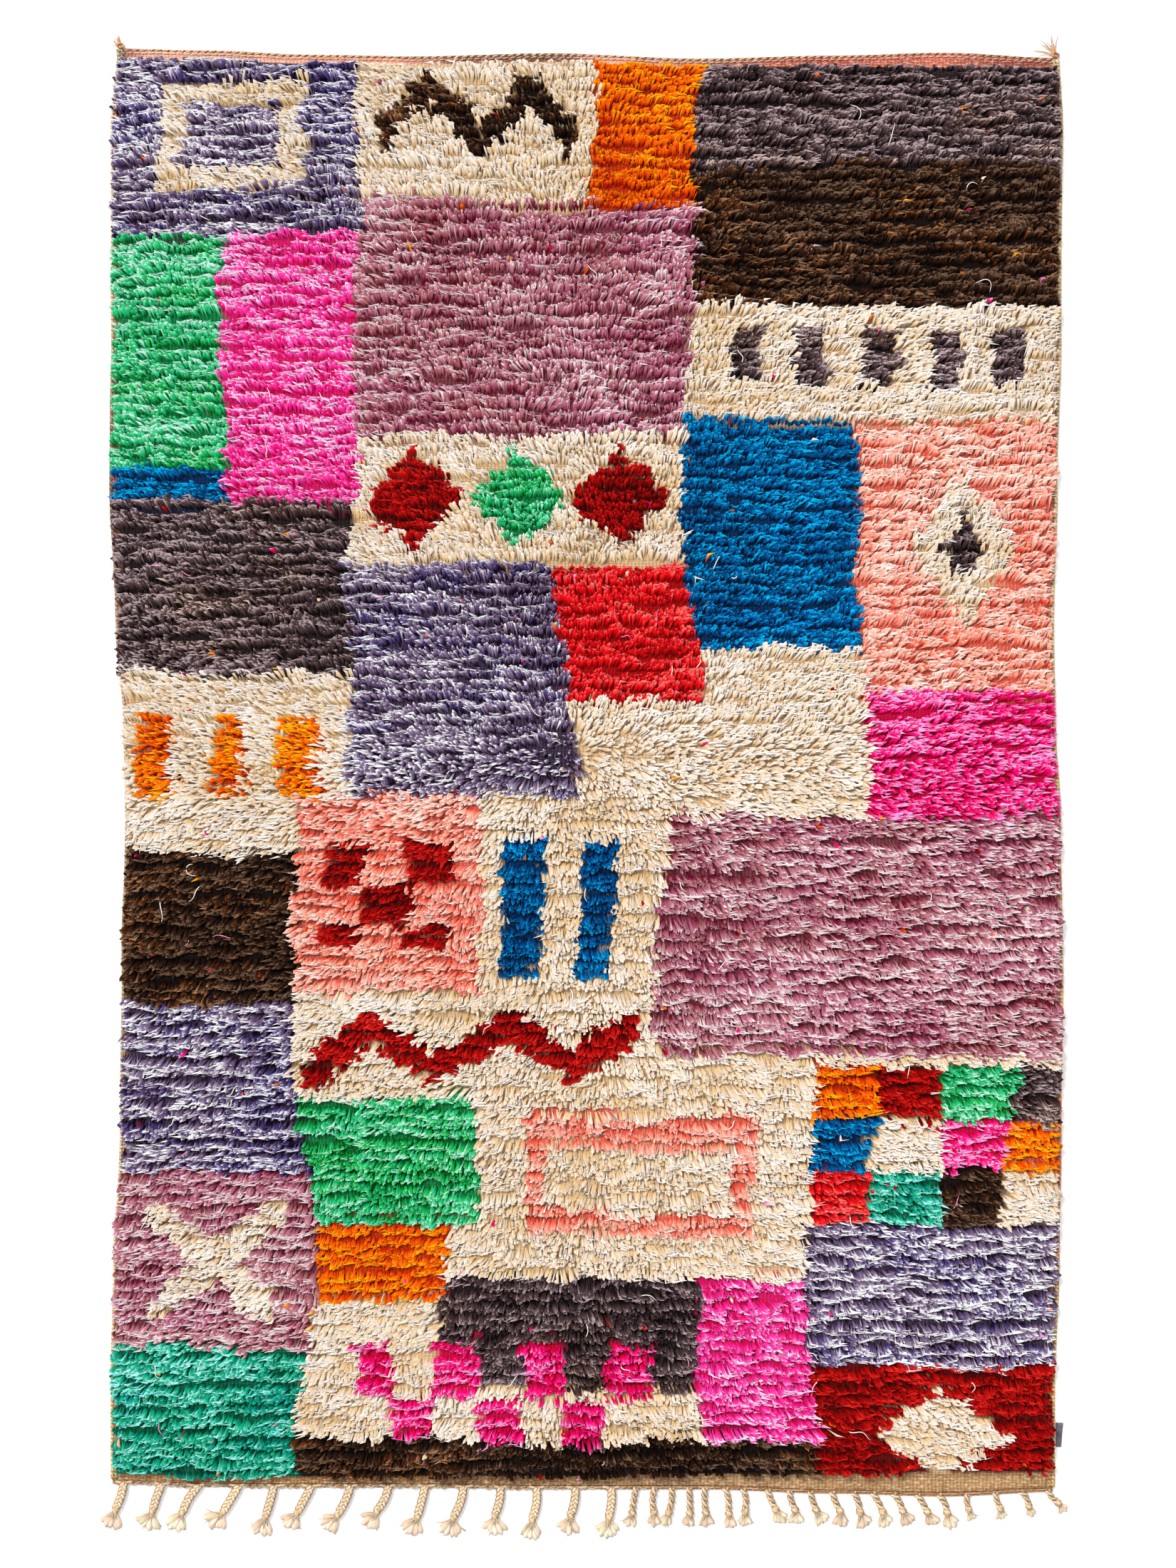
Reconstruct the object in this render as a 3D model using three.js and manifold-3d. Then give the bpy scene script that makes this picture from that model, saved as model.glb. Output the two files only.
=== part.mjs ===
// A hand-knotted Azilal shag rug lying flat on its back, in millimetres, +Z up.
// +Y points to the end that is only woven and hemmed, and -Y to the end with the plaited tassels.
// The origin is on the underside, in the middle of the woven body.
import * as THREE from "three";
import { mergeGeometries, mergeVertices } from "three/addons/utils/BufferGeometryUtils.js";
import Module from "manifold-3d";

const wasm = await Module();
wasm.setup();

// The woven body, without its tassels.
const WIDTH = 1600;
const LENGTH = 2424;
const WEAVE_THICKNESS = 4;
const SELVEDGE = { width: 10, height: 5, outer: 3.5, roll: 4 };

// The pile: how high its lumps stand, and how it rolls down to the weave at its rim.
const PILE = { height: 19.5, lump: 3.6, lumpLong: 210, lumpShort: 74, edge: 11, shoulder: 16.5 };
const PILE_ROLL = { edge: 4, shoulder: 20 };
const PILE_CELLS = { across: 28, down: 48 };

// How far each side bulges out (+) or is drawn in (-), from the top end down.
const SIDE_DRIFT = [
  { at: 0.0, left: -6, right: 2 },
  { at: 0.05, left: 5, right: 7 },
  { at: 0.2, left: 4, right: 4 },
  { at: 0.3, left: 7, right: -2 },
  { at: 0.4, left: -4, right: -8 },
  { at: 0.47, left: -17, right: -5 },
  { at: 0.53, left: -20, right: 3 },
  { at: 0.63, left: -14, right: 8 },
  { at: 0.75, left: -11, right: 5 },
  { at: 0.84, left: 0, right: 1 },
  { at: 0.93, left: 5, right: -6 },
  { at: 1.0, left: 5, right: -6 },
];

// How far each end bulges out, and how much bare weave it shows, from the left side across.
const END_SHAPE = [
  { at: 0.0, top: 11, bottom: -8, topWeave: 19, bottomWeave: 16 },
  { at: 0.1, top: 8, bottom: -3, topWeave: 17, bottomWeave: 17 },
  { at: 0.2, top: 1, bottom: -2, topWeave: 14, bottomWeave: 17 },
  { at: 0.32, top: -2, bottom: -2, topWeave: 13, bottomWeave: 18 },
  { at: 0.46, top: 3, bottom: 1, topWeave: 14, bottomWeave: 21 },
  { at: 0.62, top: -6, bottom: 1, topWeave: 13, bottomWeave: 25 },
  { at: 0.76, top: -1, bottom: 8, topWeave: 17, bottomWeave: 31 },
  { at: 0.88, top: 4, bottom: 13, topWeave: 25, bottomWeave: 41 },
  { at: 1.0, top: -5, bottom: 5, topWeave: 15, bottomWeave: 32 },
];

// Locks of pile that hang over the weave round the rim.
const RIM_LOCK = { width: 13, height: 8, length: 25, inside: 10, perSide: 28, perEnd: 17 };

// The twined edging that the tassels hang from. It is parted from the weave by GAP.
const EDGING = { width: 6, height: 4.6, twist: 0.6, pitch: 22 };
const GAP = 0.3;

// The tassels, from the left: wide plaits on one half, then thin two-ply cords. A lean is in degrees,
// positive towards the right.
const TASSEL_GROUPS = [
  { first: -778, last: 43, count: 14, width: 16, length: 47, knot: 17, tuft: 43, tuftLength: 27,
    locks: 4, leanFirst: -26, leanLast: -12, leanWobble: 9 },
  { first: 86, last: 263, count: 7, width: 12, length: 37, knot: 16, tuft: 22, tuftLength: 20,
    locks: 3, leanFirst: -9, leanLast: 4, leanWobble: 6 },
  { first: 307, last: 594, count: 9, width: 12, length: 31, knot: 16, tuft: 25, tuftLength: 22,
    locks: 3, leanFirst: 18, leanLast: 27, leanWobble: 5 },
  { first: 644, last: 780, count: 4, width: 11, length: 25, knot: 15, tuft: 15, tuftLength: 16,
    locks: 2, leanFirst: 6, leanLast: 40, leanWobble: 4 },
];
const PLAIT = { pitch: 8, swell: 0.16, height: 0.62 };

// Frayed warp ends at the two top corners: a knotted wad of cloth, and the threads that leave it.
const CORNER = { width: 17, length: 11, height: 6, thread: 2.2, threadHeight: 1.6 };
const CORNER_THREADS = {
  left: [
    { lean: -62, length: 21 },
    { lean: -40, length: 17 },
    { lean: -20, length: 12 },
  ],
  right: [
    { lean: -72, length: 34 },
    { lean: -52, length: 42 },
    { lean: -30, length: 28 },
    { lean: -12, length: 16 },
  ],
};

// A blank folded tab of ribbon, sewn in at the right side near the fringed end.
const TAB = { fromTop: 0.954, length: 41, wide: 13, narrow: 9, thickness: 1.4 };

const lerp = THREE.MathUtils.lerp;

// A repeatable number from -1 to 1 for a pair of whole numbers.
function wobble(a, b) {
  const s = Math.sin(a * 12.9898 + b * 78.233) * 43758.5453;
  return 2 * (s - Math.floor(s)) - 1;
}

// A column of a table at a place between two of its rows.
function between(table, column, at) {
  const next = table.findIndex((row) => row.at >= at);
  if (next <= 0) return table[next < 0 ? table.length - 1 : 0][column];
  const [before, after] = [table[next - 1], table[next]];
  const share = THREE.MathUtils.smoothstep(at, before.at, after.at);
  return lerp(before[column], after[column], share);
}

const leftX = (down) => -WIDTH / 2 - between(SIDE_DRIFT, "left", down);
const rightX = (down) => WIDTH / 2 + between(SIDE_DRIFT, "right", down);
const topY = (across) => LENGTH / 2 + between(END_SHAPE, "top", across);
const bottomY = (across) => -LENGTH / 2 - between(END_SHAPE, "bottom", across);
const weaveEndY = (across) => bottomY(across) + EDGING.width + GAP;
const acrossOf = (x) => x / WIDTH + 0.5;
const downOf = (y) => 0.5 - y / LENGTH;

// How high the rug stands at a distance from its side, and at a distance past the bare weave of an end.
const SIDE_RIM = [
  { inset: 0, height: SELVEDGE.outer },
  { inset: SELVEDGE.roll, height: SELVEDGE.height },
  { inset: SELVEDGE.width, height: SELVEDGE.height },
  { inset: SELVEDGE.width + PILE_ROLL.edge, height: PILE.edge },
  { inset: SELVEDGE.width + PILE_ROLL.shoulder, height: PILE.shoulder },
];
const END_RIM = [
  { weave: 0, inset: 0, height: WEAVE_THICKNESS - 0.5 },
  { weave: 1, inset: -3, height: WEAVE_THICKNESS },
  { weave: 1, inset: 0, height: WEAVE_THICKNESS + 1 },
  { weave: 1, inset: PILE_ROLL.edge, height: PILE.edge },
  { weave: 1, inset: PILE_ROLL.shoulder, height: PILE.shoulder },
];

// Lines that run down the rug, each a share of the width plus a distance, and how high the rug may stand there.
function columnLines() {
  const inner = SIDE_RIM.at(-1).inset;
  const cells = PILE_CELLS.across;
  const middle = Array.from({ length: cells - 1 }, (_, i) => ({
    share: (i + 1) / cells,
    shift: inner * (1 - (2 * (i + 1)) / cells),
    height: PILE.height,
  }));
  return [
    ...SIDE_RIM.map((rim) => ({ share: 0, shift: rim.inset, height: rim.height })),
    ...middle,
    ...SIDE_RIM.toReversed().map((rim) => ({ share: 1, shift: -rim.inset, height: rim.height })),
  ];
}

// Lines that run across the rug, from the top end down.
function rowLines() {
  const cells = PILE_CELLS.down;
  const middle = Array.from({ length: cells - 1 }, (_, j) => ({ inner: (j + 1) / cells, height: PILE.height }));
  return [
    ...END_RIM.map((rim) => ({ end: "top", ...rim })),
    ...middle,
    ...END_RIM.toReversed().map((rim) => ({ end: "bottom", ...rim })),
  ];
}

function rowY(row, across) {
  const topInset = between(END_SHAPE, "topWeave", across);
  const bottomInset = between(END_SHAPE, "bottomWeave", across) - EDGING.width - GAP;
  if (row.end === "top") return topY(across) - row.weave * topInset - row.inset;
  if (row.end === "bottom") return weaveEndY(across) + row.weave * bottomInset + row.inset;
  const shoulder = END_RIM.at(-1).inset;
  return lerp(topY(across) - topInset - shoulder, weaveEndY(across) + bottomInset + shoulder, row.inner);
}

// The lumps of the pile: two slow swells and a small unevenness from cell to cell.
function lump(x, y, i, j) {
  const slow = Math.sin(x / PILE.lumpLong + 1.3 * Math.sin(y / PILE.lumpLong));
  const quick = Math.sin(y / PILE.lumpShort + Math.sin(x / PILE.lumpShort));
  return PILE.lump * (0.4 * slow + 0.35 * quick + 0.55 * wobble(i, j));
}

const COLUMNS = columnLines();
const ROWS = rowLines();

// The point where a line down the rug meets a line across it.
function meeting(i, j) {
  const [column, row] = [COLUMNS[i], ROWS[j]];
  const across = acrossOf(lerp(-WIDTH / 2, WIDTH / 2, column.share) + column.shift);
  const y = rowY(row, across);
  const down = downOf(y);
  const x = lerp(leftX(down), rightX(down), column.share) + column.shift;
  const cap = Math.min(column.height, row.height);
  const pile = THREE.MathUtils.smoothstep(cap, PILE.edge, PILE.height);
  return new THREE.Vector3(x, y, cap + pile * lump(x, y, i, j));
}

// Turns a geometry into a closed solid that can be joined to another.
function solidOf(geometry) {
  const bare = geometry.clone();
  bare.deleteAttribute("normal");
  bare.deleteAttribute("uv");
  const merged = mergeVertices(bare, 1e-3);
  return new wasm.Manifold(
    new wasm.Mesh({
      numProp: 3,
      vertProperties: merged.attributes.position.array,
      triVerts: new Uint32Array(merged.index.array),
    }),
  );
}

function geometryOf(solid) {
  const { numProp, vertProperties, triVerts } = solid.getMesh();
  const points = new Float32Array((vertProperties.length / numProp) * 3);
  for (let v = 0; v < points.length / 3; v++) {
    points.set(vertProperties.subarray(v * numProp, v * numProp + 3), v * 3);
  }
  const geometry = new THREE.BufferGeometry();
  geometry.setAttribute("position", new THREE.BufferAttribute(points, 3));
  geometry.setIndex(new THREE.BufferAttribute(triVerts, 1));
  return geometry;
}

const joined = (solids) => solids.reduce((whole, piece) => whole.add(piece));

// The weave and its pile in one slab: a grid whose points are raised, a wall round it and a flat underside.
function slabSolid() {
  const [columns, rows] = [COLUMNS.length, ROWS.length];
  const top = new THREE.PlaneGeometry(1, 1, columns - 1, rows - 1);
  for (let j = 0; j < rows; j++) {
    for (let i = 0; i < columns; i++) {
      top.attributes.position.setXYZ(j * columns + i, ...meeting(i, j).toArray());
    }
  }
  const rim = [];
  for (let i = 0; i < columns - 1; i++) rim.push(meeting(i, rows - 1));
  for (let j = rows - 1; j > 0; j--) rim.push(meeting(columns - 1, j));
  for (let i = columns - 1; i > 0; i--) rim.push(meeting(i, 0));
  for (let j = 0; j < rows - 1; j++) rim.push(meeting(0, j));
  const outline = new THREE.Shape(rim.map((p) => new THREE.Vector2(p.x, p.y)));
  const underside = new THREE.ShapeGeometry(outline);
  underside.index.array.reverse();
  const wall = new THREE.BufferGeometry();
  const corners = rim.flatMap((p) => [p.x, p.y, p.z, p.x, p.y, 0]);
  wall.setAttribute("position", new THREE.Float32BufferAttribute(corners, 3));
  wall.setIndex(
    rim.flatMap((_, k) => {
      const [high, low] = [2 * k, 2 * k + 1];
      const next = (2 * (k + 1)) % (2 * rim.length);
      return [high, low, next, next, low, next + 1];
    }),
  );
  for (const piece of [top, underside]) {
    piece.deleteAttribute("normal");
    piece.deleteAttribute("uv");
  }
  return solidOf(mergeGeometries([top, underside, wall]));
}

// A four-sided strand along a line of stations, each with its place, its width, and the height of its
// underside and top.
function strandSolid(stations) {
  const steps = stations.length - 1;
  const box = new THREE.BoxGeometry(1, 1, 1, 1, steps, 1);
  const place = box.attributes.position;
  for (let v = 0; v < place.count; v++) {
    const k = Math.round((place.getY(v) + 0.5) * steps);
    const [station, before, after] = [stations[k], stations[Math.max(k - 1, 0)], stations[Math.min(k + 1, steps)]];
    const way = new THREE.Vector2(after.x - before.x, after.y - before.y).normalize();
    const side = place.getX(v) * station.width;
    const z = place.getZ(v) < 0 ? station.low : station.high;
    place.setXYZ(v, station.x + way.y * side, station.y - way.x * side, z);
  }
  return solidOf(box);
}

// A strand that tapers from a root to a tip, level or falling.
function lockSolid({ x, y, turn, length, width, low, high, tipLow, tipHigh, tipWidth }) {
  const way = { x: Math.sin(turn), y: Math.cos(turn) };
  const at = (share, size, bottom, top) => ({
    x: x + way.x * length * share,
    y: y + way.y * length * share,
    width: size,
    low: bottom,
    high: top,
  });
  return strandSolid([
    at(0, width * 0.7, low, high),
    at(0.55, width, lerp(low, tipLow, 0.55), lerp(high, tipHigh, 0.4)),
    at(1, tipWidth, tipLow, tipHigh),
  ]);
}

const degrees = THREE.MathUtils.degToRad;

// Locks of pile that reach over the selvedges and the bare weave.
function rimLocks() {
  const locks = [];
  const lock = (x, y, turn, k, room = RIM_LOCK.length) => {
    const reach = Math.min(RIM_LOCK.length, room) * (1 + 0.14 * wobble(k, 3));
    const away = turn + degrees(16 * wobble(k, 4));
    locks.push(
      lockSolid({
        x: x - Math.sin(away) * RIM_LOCK.inside,
        y: y - Math.cos(away) * RIM_LOCK.inside,
        turn: away,
        length: reach,
        width: RIM_LOCK.width,
        low: SELVEDGE.height + 1,
        high: SELVEDGE.height + 1 + RIM_LOCK.height,
        tipLow: SELVEDGE.height + 0.6,
        tipHigh: SELVEDGE.height + 3,
        tipWidth: RIM_LOCK.width * 0.3,
      }),
    );
  };
  for (let k = 0; k < RIM_LOCK.perSide; k++) {
    const down = lerp(0.025, 0.93, (k + 0.5 + 0.25 * wobble(k, 1)) / RIM_LOCK.perSide);
    const y = LENGTH * (0.5 - down);
    lock(leftX(down) + SELVEDGE.width + 1, y, degrees(down < 0.5 ? -70 : -110), k);
    lock(rightX(down) - SELVEDGE.width - 1, y, degrees(down < 0.5 ? 70 : 110), k + 100);
  }
  for (let k = 0; k < RIM_LOCK.perEnd; k++) {
    const across = lerp(0.03, 0.97, (k + 0.5 + 0.25 * wobble(k, 2)) / RIM_LOCK.perEnd);
    const x = WIDTH * (across - 0.5);
    lock(x, topY(across) - between(END_SHAPE, "topWeave", across), 0, k + 200);
    const bare = between(END_SHAPE, "bottomWeave", across);
    lock(x, bottomY(across) + bare, Math.PI, k + 300, RIM_LOCK.inside + bare - EDGING.width - 3);
  }
  return locks;
}

// The weave's lower edge, straight between the lines that run down the rug.
const EDGE_POINTS = COLUMNS.map((_, i) => meeting(i, ROWS.length - 1));
function weaveEdgeY(x) {
  const next = EDGE_POINTS.findIndex((p) => p.x >= x);
  if (next <= 0) return EDGE_POINTS.at(next).y;
  const [a, b] = [EDGE_POINTS[next - 1], EDGE_POINTS[next]];
  return lerp(a.y, b.y, (x - a.x) / (b.x - a.x));
}

// The twined edging: a low rope along the weave's lower edge, on every bend of that edge and at each twist.
function edgingSolid() {
  const [first, last] = [EDGE_POINTS[0].x, EDGE_POINTS.at(-1).x];
  const steps = Math.round((last - first) / EDGING.pitch);
  const twists = Array.from({ length: steps + 1 }, (_, k) => lerp(first, last, k / steps));
  const bends = EDGE_POINTS.map((p) => p.x).filter((x) => twists.every((t) => Math.abs(t - x) > 1));
  const stations = [...twists, ...bends].sort((a, b) => a - b);
  const rope = new THREE.BoxGeometry(1, 1, 1, stations.length - 1, 1, 1);
  const place = rope.attributes.position;
  for (let v = 0; v < place.count; v++) {
    const k = Math.round((place.getX(v) + 0.5) * (stations.length - 1));
    const inner = place.getY(v) > 0;
    const swell = EDGING.twist * (k % 2 ? 1 : -1);
    const y = weaveEdgeY(stations[k]) - GAP - (inner ? 0 : EDGING.width + swell);
    const top = EDGING.height + (inner ? 0 : swell - 1);
    place.setXYZ(v, stations[k], y, place.getZ(v) < 0 ? 0 : top);
  }
  return solidOf(rope);
}

// One tassel: a plait whose strands bulge in turn, a knot, and the cut ends fanned out below it.
function tasselSolids(group, k, number) {
  const share = k / (group.count - 1);
  const x = lerp(group.first, group.last, share) + 3 * wobble(number, 5);
  const y = weaveEdgeY(x) - GAP - EDGING.width * 0.75;
  const lean = lerp(group.leanFirst, group.leanLast, share) + group.leanWobble * wobble(number, 6);
  const turn = Math.PI - degrees(lean);
  const way = { x: Math.sin(turn), y: Math.cos(turn) };
  const length = group.length * (1 + 0.08 * wobble(number, 7));
  const bulges = Math.round(length / PLAIT.pitch);
  const height = group.width * PLAIT.height;
  const plait = Array.from({ length: bulges + 1 }, (_, n) => {
    const swell = 1 + PLAIT.swell * (n % 2 ? 1 : -1);
    const at = n / bulges;
    return {
      x: x + way.x * length * at,
      y: y + way.y * length * at,
      width: group.width * (n ? swell : 0.45),
      low: 0,
      high: height * lerp(1, swell, 0.6),
    };
  });
  const end = plait.at(-1);
  plait.push({ ...end, x: end.x + way.x * 5, y: end.y + way.y * 5, width: group.knot, high: height + 1.5 });
  plait.push({ ...end, x: end.x + way.x * 10, y: end.y + way.y * 10, width: group.knot * 0.8, high: height });
  const spread = Math.atan2(group.tuft / 2, group.tuftLength);
  const fan = Array.from({ length: group.locks }, (_, n) => {
    const aside = (n + 0.5) / group.locks - 0.5;
    return lockSolid({
      x: end.x + way.x * 6,
      y: end.y + way.y * 6,
      turn: turn - aside * 1.7 * spread,
      length: (group.tuftLength + 4) * (1 - 0.35 * Math.abs(aside)) * (1 + 0.07 * wobble(number, 8 + n)),
      width: (1.12 * group.tuft) / group.locks,
      low: 0,
      high: height * 0.9,
      tipLow: 0,
      tipHigh: height * 0.45,
      tipWidth: (0.8 * group.tuft) / group.locks,
    });
  });
  return [strandSolid(plait), ...fan];
}

function fringeSolid() {
  let number = 0;
  const tassels = TASSEL_GROUPS.flatMap((group) =>
    Array.from({ length: group.count }, (_, k) => tasselSolids(group, k, number++)).flat(),
  );
  return joined([edgingSolid(), ...tassels]);
}

// A wad of frayed cloth just past a top corner, with the warp threads that leave it.
function cornerSolid(side) {
  const left = side === "left";
  const corner = meeting(left ? 0 : COLUMNS.length - 1, 0);
  const along = left ? 1 : -1;
  const middle = corner.x + (along * CORNER.width) / 2;
  const reached = COLUMNS.map((_, i) => meeting(i, 0)).filter((p) => Math.abs(p.x - middle) < CORNER.width);
  const foot = Math.max(...reached.map((p) => p.y)) + GAP;
  const wad = strandSolid([
    { x: middle, y: foot, width: CORNER.width, low: 0, high: CORNER.height },
    { x: middle, y: foot + CORNER.length * 0.55, width: CORNER.width * 0.8, low: 0, high: CORNER.height },
    { x: middle - along * 3, y: foot + CORNER.length, width: CORNER.width * 0.3, low: 0, high: CORNER.height * 0.6 },
  ]);
  const threads = CORNER_THREADS[side].map((thread, k) =>
    lockSolid({
      x: middle - along * 2,
      y: foot + CORNER.length * (0.35 + 0.12 * k),
      turn: degrees(thread.lean),
      length: thread.length,
      width: CORNER.thread,
      low: 0,
      high: CORNER.threadHeight * 1.6,
      tipLow: 0,
      tipHigh: CORNER.threadHeight,
      tipWidth: CORNER.thread * 0.6,
    }),
  );
  return joined([wad, ...threads]);
}

// The blank tab, folded in two and flat on the floor against the selvedge.
function tabSolid() {
  const top = LENGTH * (0.5 - TAB.fromTop);
  const sideRows = ROWS.map((_, j) => meeting(COLUMNS.length - 1, j));
  const beside = sideRows.filter((p) => p.y < top + 60 && p.y > top - TAB.length - 60);
  const inner = Math.max(...beside.map((p) => p.x)) + GAP;
  const outline = new THREE.Shape([
    new THREE.Vector2(inner, top - TAB.length),
    new THREE.Vector2(inner + TAB.narrow, top - TAB.length + 1),
    new THREE.Vector2(inner + TAB.wide, top),
    new THREE.Vector2(inner, top),
  ]);
  return new THREE.ExtrudeGeometry(outline, { depth: TAB.thickness, bevelEnabled: false });
}

const wool = new THREE.MeshStandardMaterial({ color: 0xc9a294, roughness: 0.95, metalness: 0 });
const cotton = new THREE.MeshStandardMaterial({ color: 0xdcc7a8, roughness: 0.9, metalness: 0 });
const warp = new THREE.MeshStandardMaterial({ color: 0xc98f78, roughness: 0.92, metalness: 0 });
const ribbon = new THREE.MeshStandardMaterial({ color: 0x5f5c66, roughness: 0.7, metalness: 0 });

function piece(name, geometry, material) {
  const mesh = new THREE.Mesh(geometry, material);
  mesh.name = name;
  return mesh;
}

const rug = new THREE.Group();
rug.add(
  piece("rug", geometryOf(joined([slabSolid(), ...rimLocks()])), wool),
  piece("tassel_fringe", geometryOf(fringeSolid()), cotton),
  piece("corner_ends_left", geometryOf(cornerSolid("left")), warp),
  piece("corner_ends_right", geometryOf(cornerSolid("right")), warp),
  piece("edge_tab", tabSolid(), ribbon),
);

export default rug;
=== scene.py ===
"""A hand-knotted Azilal shag rug, laid flat on a pale floor, with plaited tassels along its lower end."""

import math

import bmesh
import bpy
import numpy as np
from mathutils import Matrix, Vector


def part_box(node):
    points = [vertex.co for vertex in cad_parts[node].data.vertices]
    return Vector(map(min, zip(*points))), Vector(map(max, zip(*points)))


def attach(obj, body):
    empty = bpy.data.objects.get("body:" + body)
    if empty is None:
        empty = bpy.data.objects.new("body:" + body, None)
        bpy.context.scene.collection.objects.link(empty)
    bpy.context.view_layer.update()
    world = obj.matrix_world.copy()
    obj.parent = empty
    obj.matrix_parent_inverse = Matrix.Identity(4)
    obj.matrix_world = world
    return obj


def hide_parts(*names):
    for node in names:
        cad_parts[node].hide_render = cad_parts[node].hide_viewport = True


bl_info = {
    "name": "Azilal shag rug",
    "version": (1, 0, 0),
    "blender": (4, 5, 0),
    "location": "3D View > Sidebar > Rug",
    "description": "Makes a flat hand-knotted shag rug with woven ends, bound sides and tassels",
    "category": "Add Mesh",
}

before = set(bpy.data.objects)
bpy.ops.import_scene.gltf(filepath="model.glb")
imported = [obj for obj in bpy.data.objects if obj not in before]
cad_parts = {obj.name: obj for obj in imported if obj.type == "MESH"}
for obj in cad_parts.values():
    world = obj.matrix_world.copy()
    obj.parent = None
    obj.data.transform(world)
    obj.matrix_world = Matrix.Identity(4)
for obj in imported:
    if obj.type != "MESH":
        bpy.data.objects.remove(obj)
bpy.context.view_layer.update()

MM = 0.001

# The woven body, as in the solids. Every table below is in millimetres, from the top left corner.
WIDTH = 1.600
LENGTH = 2.424
GAP = 0.0003
EDGING_WIDTH = 0.006
FIELD_RIGHT, FIELD_BOTTOM = round(WIDTH / MM), round(LENGTH / MM)

# The knots lie in rows, each of three staggered lines. The pile is combed outwards from the parting.
ROW = 0.018
LINE_PITCH = 0.0055
PARTING = (-0.008, -0.020)
PARTING_RADIUS = 0.03

# The bare margins beside the pile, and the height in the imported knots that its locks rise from.
SIDE_MARGIN = 0.010
END_MARGIN = 0.011
LOCK_FOOT = 0.0118

# How far each side strays outwards, from the top (0) to the bottom (1).
SIDE_DRIFT = [
    {"at": 0.0, "left": -6, "right": 2},
    {"at": 0.05, "left": 5, "right": 7},
    {"at": 0.2, "left": 4, "right": 4},
    {"at": 0.3, "left": 7, "right": -2},
    {"at": 0.4, "left": -4, "right": -8},
    {"at": 0.47, "left": -17, "right": -5},
    {"at": 0.53, "left": -20, "right": 3},
    {"at": 0.63, "left": -14, "right": 8},
    {"at": 0.75, "left": -11, "right": 5},
    {"at": 0.84, "left": 0, "right": 1},
    {"at": 0.93, "left": 5, "right": -6},
    {"at": 1.0, "left": 5, "right": -6},
]

# How far each end strays outwards, and how much of it is bare weave, from the left (0) to the right (1).
END_SHAPE = [
    {"at": 0.0, "top": 11, "bottom": -8, "top_weave": 19, "bottom_weave": 16},
    {"at": 0.1, "top": 8, "bottom": -3, "top_weave": 17, "bottom_weave": 17},
    {"at": 0.2, "top": 1, "bottom": -2, "top_weave": 14, "bottom_weave": 17},
    {"at": 0.32, "top": -2, "bottom": -2, "top_weave": 13, "bottom_weave": 18},
    {"at": 0.46, "top": 3, "bottom": 1, "top_weave": 14, "bottom_weave": 21},
    {"at": 0.62, "top": -6, "bottom": 1, "top_weave": 13, "bottom_weave": 25},
    {"at": 0.76, "top": -1, "bottom": 8, "top_weave": 17, "bottom_weave": 31},
    {"at": 0.88, "top": 4, "bottom": 13, "top_weave": 25, "bottom_weave": 41},
    {"at": 1.0, "top": -5, "bottom": 5, "top_weave": 15, "bottom_weave": 32},
]

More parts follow.
